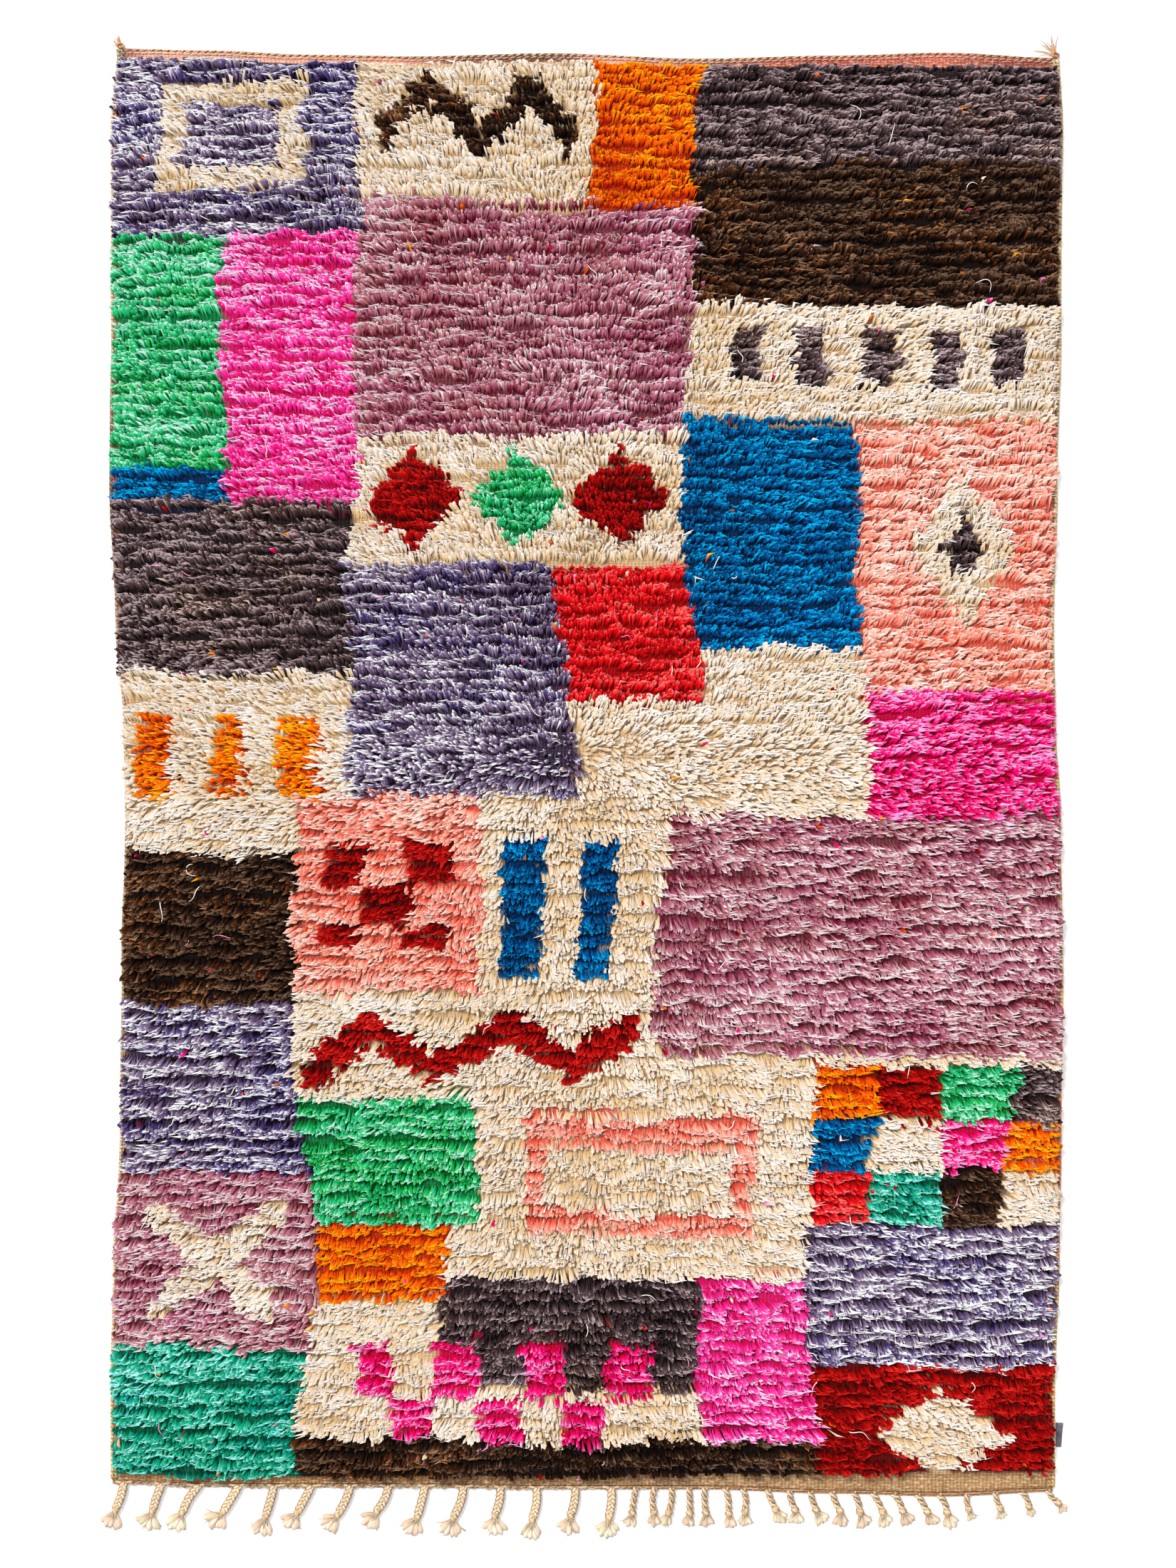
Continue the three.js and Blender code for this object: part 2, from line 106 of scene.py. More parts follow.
# Each dye: the colour at the root, along the body and at the tip of a lock, the same for a second lot
# of yarn, and how much of that second lot is mixed in. The dark roots and pale tips are partly the wool's
# own colour, and partly painted shade deep in the pile and painted light on the crests. Then come the length
# of a lock in millimetres, how big its tufts clump, how far its ends are swept aside, how high its crown
# stands for its width, how closely the locks gather to the line of their row, and how dark the painted
# shade on the sides and steep faces of a lock is (fold).
DYES = {
    "cream": dict(
        root=(212, 175, 122), body=(224, 209, 191), tip=(244, 238, 233),
        second=((204, 164, 108), (218, 199, 172), (242, 232, 222)),
        mixed=0.3, length=30, clump=0.75, sweep=0.9, crown=0.27, gather=0.4, fold=0.9,
    ),
    "periwinkle": dict(
        root=(13, 2, 16), body=(120, 97, 132), tip=(252, 252, 252),
        second=((6, 1, 17), (84, 66, 122), (243, 243, 252)),
        mixed=0.42, length=31, clump=0.5, sweep=1.0, crown=0.36, fold=0.35,
    ),
    "mauve": dict(
        root=(92, 8, 27), body=(178, 108, 120), tip=(236, 219, 221),
        second=((92, 4, 33), (173, 92, 118), (234, 210, 217)),
        mixed=0.4, length=32, clump=0.55, sweep=1.0, fold=0.25,
    ),
    "charcoal": dict(
        root=(6, 2, 2), body=(72, 54, 56), tip=(187, 163, 167),
        second=((10, 3, 2), (81, 58, 53), (198, 172, 165)),
        mixed=0.35, length=29, clump=0.55, sweep=0.55, fold=0.3,
    ),
    "brown": dict(
        root=(4, 1, 1), body=(42, 22, 10), tip=(116, 88, 69),
        second=((10, 2, 1), (79, 39, 14), (163, 119, 83)),
        mixed=0.3, length=26, clump=0.5, sweep=0.5, fold=0.3,
    ),
    "pink": dict(
        root=(196, 1, 66), body=(234, 52, 160), tip=(244, 212, 239),
        second=((179, 1, 54), (234, 24, 140), (244, 183, 230)),
        mixed=0.35, length=27, clump=0.6, sweep=0.75,
    ),
    "fuchsia": dict(
        root=(174, 1, 25), body=(237, 4, 119), tip=(245, 170, 226),
        second=((146, 1, 19), (233, 1, 97), (245, 143, 215)),
        mixed=0.35, length=26, clump=0.55, sweep=0.9,
    ),
    "salmon": dict(
        root=(212, 70, 48), body=(234, 169, 147), tip=(248, 226, 216),
        second=((208, 56, 36), (230, 139, 120), (246, 209, 197)),
        mixed=0.35, length=29, clump=0.6, sweep=0.7, fold=0.2,
    ),
    "green": dict(
        root=(1, 90, 27), body=(38, 190, 119), tip=(202, 245, 232),
        second=((1, 79, 13), (18, 172, 82), (159, 238, 193)),
        mixed=0.4, length=26, clump=0.5, sweep=0.45,
    ),
    "mint": dict(
        root=(1, 60, 32), body=(12, 165, 128), tip=(162, 243, 235),
        second=((1, 54, 37), (4, 146, 125), (112, 231, 222)),
        mixed=0.35, length=26, clump=0.5, sweep=0.5,
    ),
    "blue": dict(
        root=(1, 19, 50), body=(1, 80, 140), tip=(3, 177, 234),
        second=((1, 14, 45), (1, 64, 124), (1, 152, 220)),
        mixed=0.35, length=21, clump=0.22, sweep=0.3,
    ),
    "red": dict(
        root=(135, 1, 1), body=(228, 7, 20), tip=(240, 120, 114),
        second=((109, 1, 1), (200, 3, 11), (230, 74, 73)),
        mixed=0.35, length=25, clump=0.45, sweep=0.55,
    ),
    "madder": dict(
        root=(58, 1, 1), body=(160, 4, 3), tip=(220, 37, 32),
        second=((48, 1, 1), (133, 2, 1), (205, 20, 16)),
        mixed=0.35, length=26, clump=0.5, sweep=0.55,
    ),
    "orange": dict(
        root=(165, 19, 1), body=(237, 96, 1), tip=(247, 177, 14),
        second=((144, 11, 1), (230, 75, 1), (247, 142, 3)),
        mixed=0.3, length=26, clump=0.5, sweep=0.75,
    ),
}

USUAL_CROWN = 0.32
USUAL_GATHER = 1.0
# A lock gets no painted shade on its sides and steep faces unless its dye asks for it.
USUAL_SIDE_SHADE = 0.0

# The field is cream. Blocks of colour are knotted over it, in this order: the dye of each, then its left,
# top, right and bottom.
BLOCKS = [
    ("periwinkle", 0, 0, 424, 326),
    ("orange", 806, 0, 978, 262),
    ("charcoal", 978, 0, 1600, 214),
    ("brown", 978, 214, 1600, 428),
    ("mauve", 424, 262, 978, 640),
    ("green", 0, 326, 196, 706),
    ("pink", 196, 326, 424, 764),
    ("blue", 978, 604, 1252, 1006),
    ("salmon", 1252, 604, 1600, 1072),
    ("charcoal", 0, 764, 420, 1052),
    ("periwinkle", 420, 866, 764, 1246),
    ("red", 764, 866, 978, 1092),
    ("fuchsia", 1252, 1072, 1600, 1286),
    ("mauve", 910, 1286, 1600, 1672),
    ("brown", 0, 1326, 334, 1586),
    ("salmon", 334, 1246, 624, 1562),
    ("blue", 0, 706, 196, 764),
    ("periwinkle", 0, 1586, 334, 1866),
    ("green", 334, 1744, 620, 1962),
    ("mauve", 0, 1866, 334, 2178),
    ("orange", 334, 1962, 562, 2084),
    ("charcoal", 562, 2046, 1002, 2232),
    ("pink", 1002, 2046, 1186, 2336),
    ("periwinkle", 1186, 1962, 1600, 2204),
    ("madder", 1186, 2204, 1600, 2424),
    ("mint", 0, 2178, 306, 2424),
    ("brown", 306, 2324, 1186, 2424),
    ("orange", 1186, 1686, 1290, 1774),
    ("madder", 1290, 1686, 1394, 1774),
    ("green", 1394, 1686, 1498, 1774),
    ("charcoal", 1498, 1686, 1600, 1774),
    ("blue", 1186, 1774, 1290, 1866),
    ("cream", 1290, 1774, 1394, 1866),
    ("fuchsia", 1394, 1774, 1498, 1866),
    ("orange", 1498, 1774, 1600, 1866),
    ("red", 1186, 1866, 1290, 1962),
    ("mint", 1290, 1866, 1394, 1962),
    ("brown", 1394, 1866, 1498, 1962),
    ("cream", 1498, 1866, 1600, 1962),
]

# Small figures of the kind that such rugs share, drawn in whole knots over the blocks: form, dye, left,
# top, right, bottom, and the width of a bar, check, line or turn.
FIGURES = [
    ("bars", "charcoal", 1040, 470, 1540, 560, 108),
    ("lozenge", "madder", 440, 668, 610, 844, 0),
    ("lozenge", "green", 616, 668, 786, 844, 0),
    ("lozenge", "madder", 792, 668, 962, 844, 0),
    ("frame", "cream", 82, 76, 336, 250, 36),
    ("zigzag", "brown", 470, 56, 770, 196, 76),
    ("lozenge", "cream", 1336, 700, 1530, 970, 0),
    ("lozenge", "charcoal", 1392, 778, 1474, 892, 0),
    ("bars", "orange", 60, 1110, 370, 1250, 124),
    ("checks", "madder", 380, 1318, 580, 1498, 66),
    ("zigzag", "madder", 352, 1600, 890, 1724, 108),
    ("bars", "blue", 664, 1316, 872, 1552, 118),
    ("frame", "salmon", 700, 1790, 1090, 1976, 38),
    ("cross", "cream", 62, 1926, 272, 2120, 34),
    ("checks", "fuchsia", 392, 2168, 928, 2318, 76),
    ("lozenge", "cream", 1286, 2236, 1500, 2392, 0),
]

# The weft of the bare ends and the binding of the sides, from the left or from the top.
TOP_WEFT = [
    {"at": 0.0, "colour": (186, 120, 102)},
    {"at": 0.04, "colour": (232, 186, 164)},
    {"at": 0.3, "colour": (230, 172, 148)},
    {"at": 0.38, "colour": (150, 106, 84)},
    {"at": 0.46, "colour": (134, 92, 72)},
    {"at": 0.52, "colour": (228, 178, 158)},
    {"at": 0.62, "colour": (196, 140, 116)},
    {"at": 0.74, "colour": (190, 104, 84)},
    {"at": 0.86, "colour": (214, 128, 106)},
    {"at": 1.0, "colour": (170, 92, 76)},
]
BOTTOM_WEFT = [
    {"at": 0.0, "colour": (180, 136, 88)},
    {"at": 0.3, "colour": (172, 128, 78)},
    {"at": 0.6, "colour": (186, 148, 104)},
    {"at": 1.0, "colour": (190, 152, 104)},
]
LEFT_BINDING = [
    {"at": 0.0, "colour": (196, 180, 146)},
    {"at": 0.05, "colour": (232, 214, 184)},
    {"at": 0.16, "colour": (214, 192, 160)},
    {"at": 0.3, "colour": (150, 120, 94)},
    {"at": 0.44, "colour": (220, 200, 170)},
    {"at": 0.6, "colour": (176, 154, 128)},
    {"at": 0.8, "colour": (226, 206, 174)},
    {"at": 1.0, "colour": (206, 178, 132)},
]
RIGHT_BINDING = [
    {"at": 0.0, "colour": (206, 182, 146)},
    {"at": 0.35, "colour": (222, 198, 158)},
    {"at": 0.52, "colour": (220, 192, 146)},
    {"at": 0.56, "colour": (212, 134, 110)},
    {"at": 0.61, "colour": (220, 190, 142)},
    {"at": 0.8, "colour": (210, 142, 114)},
    {"at": 0.87, "colour": (220, 188, 136)},
    {"at": 1.0, "colour": (216, 184, 130)},
]

# Four groups of tassels, from left to right. Places and sizes are in millimetres, and leans in degrees.
TASSEL_GROUPS = [
    dict(first=-778, last=43, count=14, width=16, length=47, tuft=43, tuft_length=27,
         lean_first=-26, lean_last=-12, lean_wobble=9, plies=3),
    dict(first=86, last=263, count=7, width=12, length=37, tuft=22, tuft_length=20,
         lean_first=-9, lean_last=4, lean_wobble=6, plies=2),
    dict(first=307, last=594, count=9, width=12, length=31, tuft=25, tuft_length=22,
         lean_first=18, lean_last=27, lean_wobble=5, plies=2),
    dict(first=644, last=780, count=4, width=11, length=25, tuft=15, tuft_length=16,
         lean_first=6, lean_last=40, lean_wobble=4, plies=2),
]


UP = np.array([0.0, 0.0, 1.0])


# ---- Small sums ----


def linear(colour):
    """A colour as a painter's 0 to 255 numbers, turned into the numbers that light adds up in."""
    c = np.asarray(colour, dtype=float) / 255
    return np.where(c <= 0.04045, c / 12.92, ((c + 0.055) / 1.055) ** 2.4)


def colour4(colour):
    """The same, with the fourth number that a colour socket takes."""
    return (*linear(colour), 1.0)


def between(table, column, at):
    """A column of a table at places between its rows."""
    rows = np.array([row["at"] for row in table])
    values = np.array([row[column] for row in table], dtype=float)
    at = np.clip(np.asarray(at, dtype=float), 0, 1)
    after = np.clip(np.searchsorted(rows, at), 1, len(rows) - 1)
    share = (at - rows[after - 1]) / (rows[after] - rows[after - 1])
    share = share * share * (3 - 2 * share)
    if values.ndim == 2:
        share = share[..., None]
    return values[after - 1] + (values[after] - values[after - 1]) * share


def chance(*numbers):
    """A repeatable number from -1 to 1 for whole numbers."""
    total = sum(np.asarray(n, dtype=float) * k for n, k in zip(numbers, (12.9898, 78.233, 37.719)))
    s = np.sin(total) * 43758.5453
    return 2 * (s - np.floor(s)) - 1


def drift(x, y, size, seed):
    """Smooth unevenness from -1 to 1, with swells of a given size. Each use has a seed of its own."""
    gx, gy = np.asarray(x) / size, np.asarray(y) / size
    ix, iy = np.floor(gx), np.floor(gy)
    fx, fy = gx - ix, gy - iy
    fx, fy = fx * fx * (3 - 2 * fx), fy * fy * (3 - 2 * fy)

    def corner(dx, dy):
        return chance(ix + dx, iy + dy, seed)

    low = corner(0, 0) * (1 - fx) + corner(1, 0) * fx
    high = corner(0, 1) * (1 - fx) + corner(1, 1) * fx
    return low * (1 - fy) + high * fy


def waver(along, size, seed):
    """Smooth unevenness along a line."""
    return drift(along, along * 0, size, seed)


def ease(value, low, high):
    """From 0 at `low` to 1 at `high`, slowly at both ends."""
    share = np.clip((value - low) / (high - low), 0, 1)
    return share * share * (3 - 2 * share)


def across_of(x):
    """From 0 at the left of the weave to 1 at its right."""
    return np.asarray(x) / WIDTH + 0.5


def down_of(y):
    """From 0 at the top of the weave to 1 at its bottom."""
    return 0.5 - np.asarray(y) / LENGTH


def left_x(down):
    """Where the left side runs."""
    return -WIDTH / 2 - between(SIDE_DRIFT, "left", down) * MM


def right_x(down):
    """Where the right side runs."""
    return WIDTH / 2 + between(SIDE_DRIFT, "right", down) * MM


def top_y(across):
    """Where the top end runs."""
    return LENGTH / 2 + between(END_SHAPE, "top", across) * MM


def bottom_y(across):
    """Where the lower end runs, with its edging."""
    return -LENGTH / 2 - between(END_SHAPE, "bottom", across) * MM


def weave_end_y(across):
    """Where the weave ends and the twined edging begins."""
    return bottom_y(across) + EDGING_WIDTH + GAP


def laid(x, y, height):
    """Points on or over the floor, from arrays or single numbers."""
    return np.stack(np.broadcast_arrays(x, y, height), -1)


def heading(turn):
    """The way along and the way across, for a turn on the floor away from the rug's top."""
    way = np.array([math.sin(turn), math.cos(turn), 0.0])
    return way, np.array([way[1], -way[0], 0.0])


# ---- Meshes from arrays ----


def mesh_object(name, points, triangles):
    """A mesh object at the origin, from an array of points and an array of triangles."""
    mesh = bpy.data.meshes.new(name)
    mesh.vertices.add(len(points))
    mesh.vertices.foreach_set("co", np.asarray(points, dtype=np.float32).ravel())
    mesh.loops.add(len(triangles) * 3)
    mesh.loops.foreach_set("vertex_index", np.asarray(triangles, dtype=np.int32).ravel())
    mesh.polygons.add(len(triangles))
    mesh.polygons.foreach_set("loop_start", np.arange(0, len(triangles) * 3, 3, dtype=np.int32))
    mesh.polygons.foreach_set("use_smooth", np.ones(len(triangles), dtype=bool))
    mesh.update(calc_edges=True)
    piece = bpy.data.objects.new(name, mesh)
    bpy.context.scene.collection.objects.link(piece)
    return piece


def give_uv(piece, uv, triangles):
    """A UV map that runs along each strand or lock, from one place for each point."""
    layer = piece.data.uv_layers.new(name="along")
    corners = np.asarray(uv, dtype=np.float32)[np.asarray(triangles).ravel()]
    layer.uv.foreach_set("vector", corners.ravel())


def give_number(piece, name, values):
    """A number for each point, that a material reads by name."""
    layer = piece.data.attributes.new(name, "FLOAT", "POINT")
    layer.data.foreach_set("value", np.asarray(values, dtype=np.float32))


def give_tint(piece, colours):
    """A colour for each point, that a material reads as its tint."""
    layer = piece.data.attributes.new("tint", "FLOAT_COLOR", "POINT")
    rgba = np.ones((len(colours), 4), dtype=np.float32)
    rgba[:, :3] = colours
    layer.data.foreach_set("color", rgba.ravel())


def lengths_along(path):
    """The length of a path from its start to each of its points."""
    return np.concatenate([[0], np.cumsum(np.linalg.norm(np.diff(path, axis=0), axis=1))])


def stands_for(piece, material, slot, *nodes):
    """Gives a piece its finish and puts it on the rug's one body, in place of the solids it dresses."""
    piece.data.materials.append(material)
    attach(piece, "root")
    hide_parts(*nodes)


# How much red, green and blue a strand loses as painted shade at its sides, and its pattern's units to a
# metre.
SIDE_SHADE_LOSS = [0.5, 0.61, 0.74]
YARN_UNITS = 100


class Yarns:
    """Gathers round strands, each closed at both ends, and joins them into one piece."""

    def __init__(self):
        self.points, self.triangles, self.uv, self.tint, self.tone = [], [], [], [], []
        self.count = 0

    def add(self, path, radii, sides=6, tint=(1, 1, 1), tone=0.0, flat=1.0, rim=0.0, run=1.0):
        """One strand. Its sides are darkened by `rim` as painted shade, and its grain is drawn out where
        `run` is small.
        """
        path = np.asarray(path, dtype=float)
        steps = len(path)
        radii = np.broadcast_to(np.asarray(radii, dtype=float), steps)
        tangent = np.gradient(path, axis=0)
        tangent /= np.linalg.norm(tangent, axis=1)[:, None]
        side = np.cross(tangent, [0.0, 0.0, 1.0])
        size = np.linalg.norm(side, axis=1)[:, None]
        # A strand that runs straight up has no side of its own, and takes the rug's.
        side = np.where(size > 0.05, side / np.maximum(size, 1e-9), [1.0, 0.0, 0.0])
        up = np.cross(side, tangent)
        angle = np.linspace(0, 2 * math.pi, sides, endpoint=False)
        ring = (
            path[:, None, :]
            + side[:, None, :] * np.cos(angle)[None, :, None] * radii[:, None, None]
            + up[:, None, :] * np.sin(angle)[None, :, None] * radii[:, None, None] * flat
        )
        here = self.count
        body = np.arange(steps * sides).reshape(steps, sides) + here
        a, b = body[:-1], np.roll(body[:-1], -1, axis=1)
        c, d = np.roll(body[1:], -1, axis=1), body[1:]
        start, end = here + steps * sides, here + steps * sides + 1
        faces = [np.stack([a, d, c], -1).reshape(-1, 3), np.stack([a, c, b], -1).reshape(-1, 3)]
        first, last = body[0], body[-1]
        faces.append(np.stack([np.full(sides, start), first, np.roll(first, -1)], -1))
        faces.append(np.stack([np.full(sides, end), np.roll(last, -1), last], -1))
        along = lengths_along(path) * YARN_UNITS * run
        turnwise = np.abs(np.linspace(-1, 1, sides, endpoint=False))
        uv = np.stack(np.broadcast_arrays(turnwise[None, :], along[:, None]), -1).reshape(-1, 2)
        self.points += [ring.reshape(-1, 3), path[:1], path[-1:]]
        self.uv += [uv, [[0, along[0]]], [[0, along[-1]]]]
        tint = np.broadcast_to(np.asarray(tint, dtype=float), (steps, 3))
        # Painted shade: the sides of the strand darken, more in blue than in red.
        side_loss = rim * (np.cos(angle) ** 2)[None, :, None] * SIDE_SHADE_LOSS
        self.tint += [(tint[:, None, :] * (1 - side_loss)).reshape(-1, 3), tint[:1], tint[-1:]]
        self.tone.append(np.full(steps * sides + 2, tone))
        self.triangles += faces
        self.count += steps * sides + 2

    def piece(self, name):
        """All the strands as one mesh."""
        triangles = np.concatenate(self.triangles)
        piece = mesh_object(name, np.concatenate(self.points), triangles)
        give_uv(piece, np.concatenate(self.uv), triangles)
        give_tint(piece, np.concatenate(self.tint))
        give_number(piece, "tone", np.concatenate(self.tone))
        return piece


# ---- The colours of the knots ----


# In millimetres: the width of a knot, half a row, how far a block at a side or an end of the field is let
# out over it, and the two measures of a zigzag's line.
KNOT_WIDTH = 11
HALF_ROW = 9
OPEN_SIDE, OPEN_END = 30, 60
ZIGZAG_INSET, ZIGZAG_REACH = 22, 30


def form_mask(form, box, size, across, down):
    """Which knots a figure takes, at places in millimetres."""
    left, top, right, bottom = box
    inside = (across > left) & (across < right) & (down > top) & (down < bottom)
    half_width, half_height = (right - left) / 2, (bottom - top) / 2
    u = np.abs(across - (left + right) / 2)
    v = np.abs(down - (top + bottom) / 2)
    if form == "lozenge":
        return inside & (u / half_width + v / half_height < 1)
    if form == "frame":
        return inside & ((u > half_width - size) | (v > half_height - size))
    if form == "cross":
        return inside & (np.abs(u / half_width - v / half_height) * half_width < size)
    if form == "checks":
        return inside & ((np.floor((across - left) / size) + np.floor((down - top) / size)) % 2 == 0)
    if form == "bars":
        return inside & (np.floor((across - left) / size * 2) % 2 == 0)
    swing = np.abs(((across - left) / size) % 2 - 1) * (2 * half_height - 2 * ZIGZAG_INSET)
    return inside & (np.abs(down - top - ZIGZAG_INSET - swing) < ZIGZAG_REACH)


def dyes_at(x, y):
    """The place in DYES of the yarn knotted at each point, in whole knots with ragged sides."""
    names = list(DYES)
    row = np.floor((LENGTH / 2 - y) / ROW)
    ragged = 6 * chance(row, np.floor(x / 0.16), 5) + 12 * drift(x, y, 0.1, 1) + 26 * drift(x, y, 0.42, 2)
    across = (x + WIDTH / 2) / MM + ragged
    across = np.floor(across / KNOT_WIDTH) * KNOT_WIDTH + KNOT_WIDTH / 2
    sag = 7 * drift(x, y, 0.14, 3) + 20 * drift(x, y, 0.55, 4)
    down = np.floor(((LENGTH / 2 - y) / MM + sag) / (ROW / MM)) * (ROW / MM) + HALF_ROW
    found = np.full(np.shape(x), names.index("cream"))
    for dye, left, top, right, bottom in BLOCKS:
        left -= OPEN_SIDE * (left == 0)
        top -= OPEN_END * (top == 0)
        right += OPEN_SIDE * (right == FIELD_RIGHT)
        bottom += OPEN_END * (bottom == FIELD_BOTTOM)
        found[(across > left) & (across < right) & (down > top) & (down < bottom)] = names.index(dye)
    for form, dye, *box, size in FIGURES:
        found[form_mask(form, box, size, across, down)] = names.index(dye)
    return found


def from_parting(x, y):
    """How far across and up a place lies from the parting in the middle of the rug."""
    across = x - PARTING[0] + 0.05 * drift(x, y, 0.3, 13)
    return across, y - PARTING[1] + 0.06 * drift(x, y, 0.26, 14)


def lie_of(x, y):
    """Which way the pile lies: out from the parting."""
    dx, dy = from_parting(x, y)
    angle = np.arctan2(np.tanh(dx / 0.34) * 0.62, np.tanh(dy / 0.2))
    return angle + 0.32 * drift(x, y, 0.085, 11) + 0.42 * drift(x, y, 0.03, 12)


# ---- Finishes ----


# The sockets of a Mix node that blends colours.
MIX_SHARE, MIX_FIRST, MIX_SECOND, MIX_RESULT = 0, 6, 7, 2


class Nodes:
    """Adds shader nodes to a tree and joins them up."""

    def __init__(self, tree):
        self.tree = tree
        tree.nodes.clear()

    def add(self, kind, inputs=(), **settings):
        """A node, with what its inputs are given and its own settings."""
        node = self.tree.nodes.new(kind)
        for key, value in settings.items():
            setattr(node, key, value)
        for key, value in dict(inputs).items():
            self.give(node.inputs[key], value)
        return node

    def give(self, socket, value):
        """Joins a socket to another, or sets its number or colour."""
        if isinstance(value, bpy.types.NodeSocket):
            self.tree.links.new(value, socket)
        else:
            socket.default_value = value

    def sum(self, operation, *values):
        """The result of a Math node."""
        node = self.add("ShaderNodeMath", operation=operation)
        for socket, value in zip(node.inputs, values):
            self.give(socket, value)
        return node.outputs[0]

    def attribute(self, name, output="Fac"):
        """A number or colour that the piece carries."""
        return self.add("ShaderNodeAttribute", attribute_name=name).outputs[output]

    def noise(self, place, scale, detail, **inputs):
        """Cloudy noise, from 0 to 1."""
        inputs = {"Vector": place, "Scale": scale, "Detail": detail, **inputs}
        return self.add("ShaderNodeTexNoise", inputs).outputs["Fac"]

    def blend(self, share, first, second, mode="MIX"):
        """Two colours mixed, with more of the second as the share grows."""
        node = self.add("ShaderNodeMix", data_type="RGBA", blend_type=mode)
        self.give(node.inputs[MIX_SHARE], share)
        self.give(node.inputs[MIX_FIRST], first)
        self.give(node.inputs[MIX_SECOND], second)
        return node.outputs[MIX_RESULT]

    def step(self, value, low, high, out_low=0.0, out_high=1.0):
        """A smooth step from one value to another."""
        node = self.add("ShaderNodeMapRange", interpolation_type="SMOOTHSTEP")
        for index, number in enumerate((value, low, high, out_low, out_high)):
            self.give(node.inputs[index], number)
        return node.outputs[0]


def new_material(name):
    """A material without nodes, and the tool that adds them."""
    material = bpy.data.materials.new(name)
    material.use_nodes = True
    return material, Nodes(material.node_tree)


def new_group(name, inputs, outputs):
    """A node group, with a label and a kind of socket for each input and output."""
    group = bpy.data.node_groups.new(name, "ShaderNodeTree")
    for label, kind, default in inputs:
        socket = group.interface.new_socket(name=label, in_out="INPUT", socket_type=kind)
        socket.default_value = default
    for label, kind in outputs:
        group.interface.new_socket(name=label, in_out="OUTPUT", socket_type=kind)
    return group


def wool_group():
    """The colour and fibres of a lock of wool, from its root to its tip, with painted shade on its sides and
    steep faces.
    """
    if "Wool lock" in bpy.data.node_groups:
        return bpy.data.node_groups["Wool lock"]
    plain = (0.5, 0.5, 0.5, 1)
    group = new_group(
        "Wool lock",
        [
            ("Root", "NodeSocketColor", plain),
            ("Body", "NodeSocketColor", plain),
            ("Tip", "NodeSocketColor", plain),
            ("Side shade", "NodeSocketFloat", 0.0),
        ],
        [("Colour", "NodeSocketColor"), ("Fibres", "NodeSocketFloat")],
    )
    n = Nodes(group)
    given = n.add("NodeGroupInput")
    result = n.add("NodeGroupOutput")
    tone = n.attribute("tone")
    uv = n.add("ShaderNodeUVMap", uv_map="along").outputs["UV"]
    parts = n.add("ShaderNodeSeparateXYZ", {"Vector": uv})

    # Fine fibres run along the lock, with another piece of the noise for each tone.
    across = n.sum("MULTIPLY_ADD", tone, 31.0, parts.outputs["X"])
    place = n.add("ShaderNodeCombineXYZ", {"X": across, "Y": n.sum("MULTIPLY", parts.outputs["Y"], 0.22)})
    fibres = n.noise(place.outputs[0], 11.0, 2.5, Roughness=0.6)

    # The colour goes from the root to the tip, broken up by the fibres. The dark root is partly painted shade
    # deep in the pile and the pale tip partly painted light on the crest. The tone moves the colour towards
    # the tip, and carries painted light on higher tufts and on the lips.
    value = n.sum("MULTIPLY_ADD", parts.outputs["Y"], 1.0, n.sum("MULTIPLY", tone, 0.7))
    value = n.sum("ADD", value, n.sum("MULTIPLY", n.sum("SUBTRACT", fibres, 0.5), 1.3))
    colour = n.blend(n.step(value, 0.25, 0.7), given.outputs["Root"], given.outputs["Body"])
    colour = n.blend(n.step(value, 0.7, 1.1), colour, given.outputs["Tip"])

    # Painted shade: the sides of the lock and its steep faces are darkened towards the root colour, as far as
    # the dye's fold asks.
    from_middle = n.sum("ABSOLUTE", n.sum("SUBTRACT", parts.outputs["X"], 0.5))
    normal = n.add("ShaderNodeSeparateXYZ", {"Vector": n.add("ShaderNodeNewGeometry").outputs["Normal"]})
    steep = n.step(normal.outputs["Z"], 0.85, 0.35)
    fold = n.sum("MULTIPLY", given.outputs["Side shade"], n.sum("MAXIMUM", n.step(from_middle, 0.3, 0.5), steep))
    colour = n.blend(fold, colour, given.outputs["Root"], "MULTIPLY")
    n.give(result.inputs["Colour"], colour)
    n.give(result.inputs["Fibres"], fibres)
    return group


# Wool, yarn and cloth have hardly any gloss.
SHEEN_ROUGHNESS = 0.5
FIBRE_GLOSS = 0.06


def shader(n, colour, roughness, height, depth, sheen=0.0):
    """The surface itself, with its constant numbers on its own sockets."""
    bump = n.add("ShaderNodeBump", {"Strength": 1.0, "Distance": depth, "Height": height})
    surface = n.add("ShaderNodeBsdfPrincipled", {"Roughness": roughness, "Normal": bump.outputs[0]})
    surface.inputs["Sheen Weight"].default_value = sheen
    surface.inputs["Sheen Roughness"].default_value = SHEEN_ROUGHNESS
    surface.inputs["Specular IOR Level"].default_value = FIBRE_GLOSS
    n.give(surface.inputs["Base Color"], colour)
    n.add("ShaderNodeOutputMaterial", {"Surface": surface.outputs[0]})


def wool_material(name, body, dye):
    """Knotted wool of one dye, with a second lot of yarn mixed in."""
    material, n = new_material(f"wool_{name}")
    colours = [(linear(dye["root"]), body, linear(dye["tip"])), tuple(linear(c) for c in dye["second"])]
    lots = []
    for root, middle, tip in colours:
        lot = n.add("ShaderNodeGroup", node_tree=wool_group())
        for key, value in (("Root", root), ("Body", middle), ("Tip", tip)):
            lot.inputs[key].default_value = (*value[:3], 1.0)
        # How dark the painted shade on the sides and steep faces of the lock is.
        lot.inputs["Side shade"].default_value = dye.get("fold", USUAL_SIDE_SHADE)
        lots.append(lot)
    lot_share = n.attribute("lot")
    colour = n.blend(lot_share, lots[0].outputs["Colour"], lots[1].outputs["Colour"])
    shader(n, colour, 0.92, lots[0].outputs["Fibres"], 0.0012)
    return material


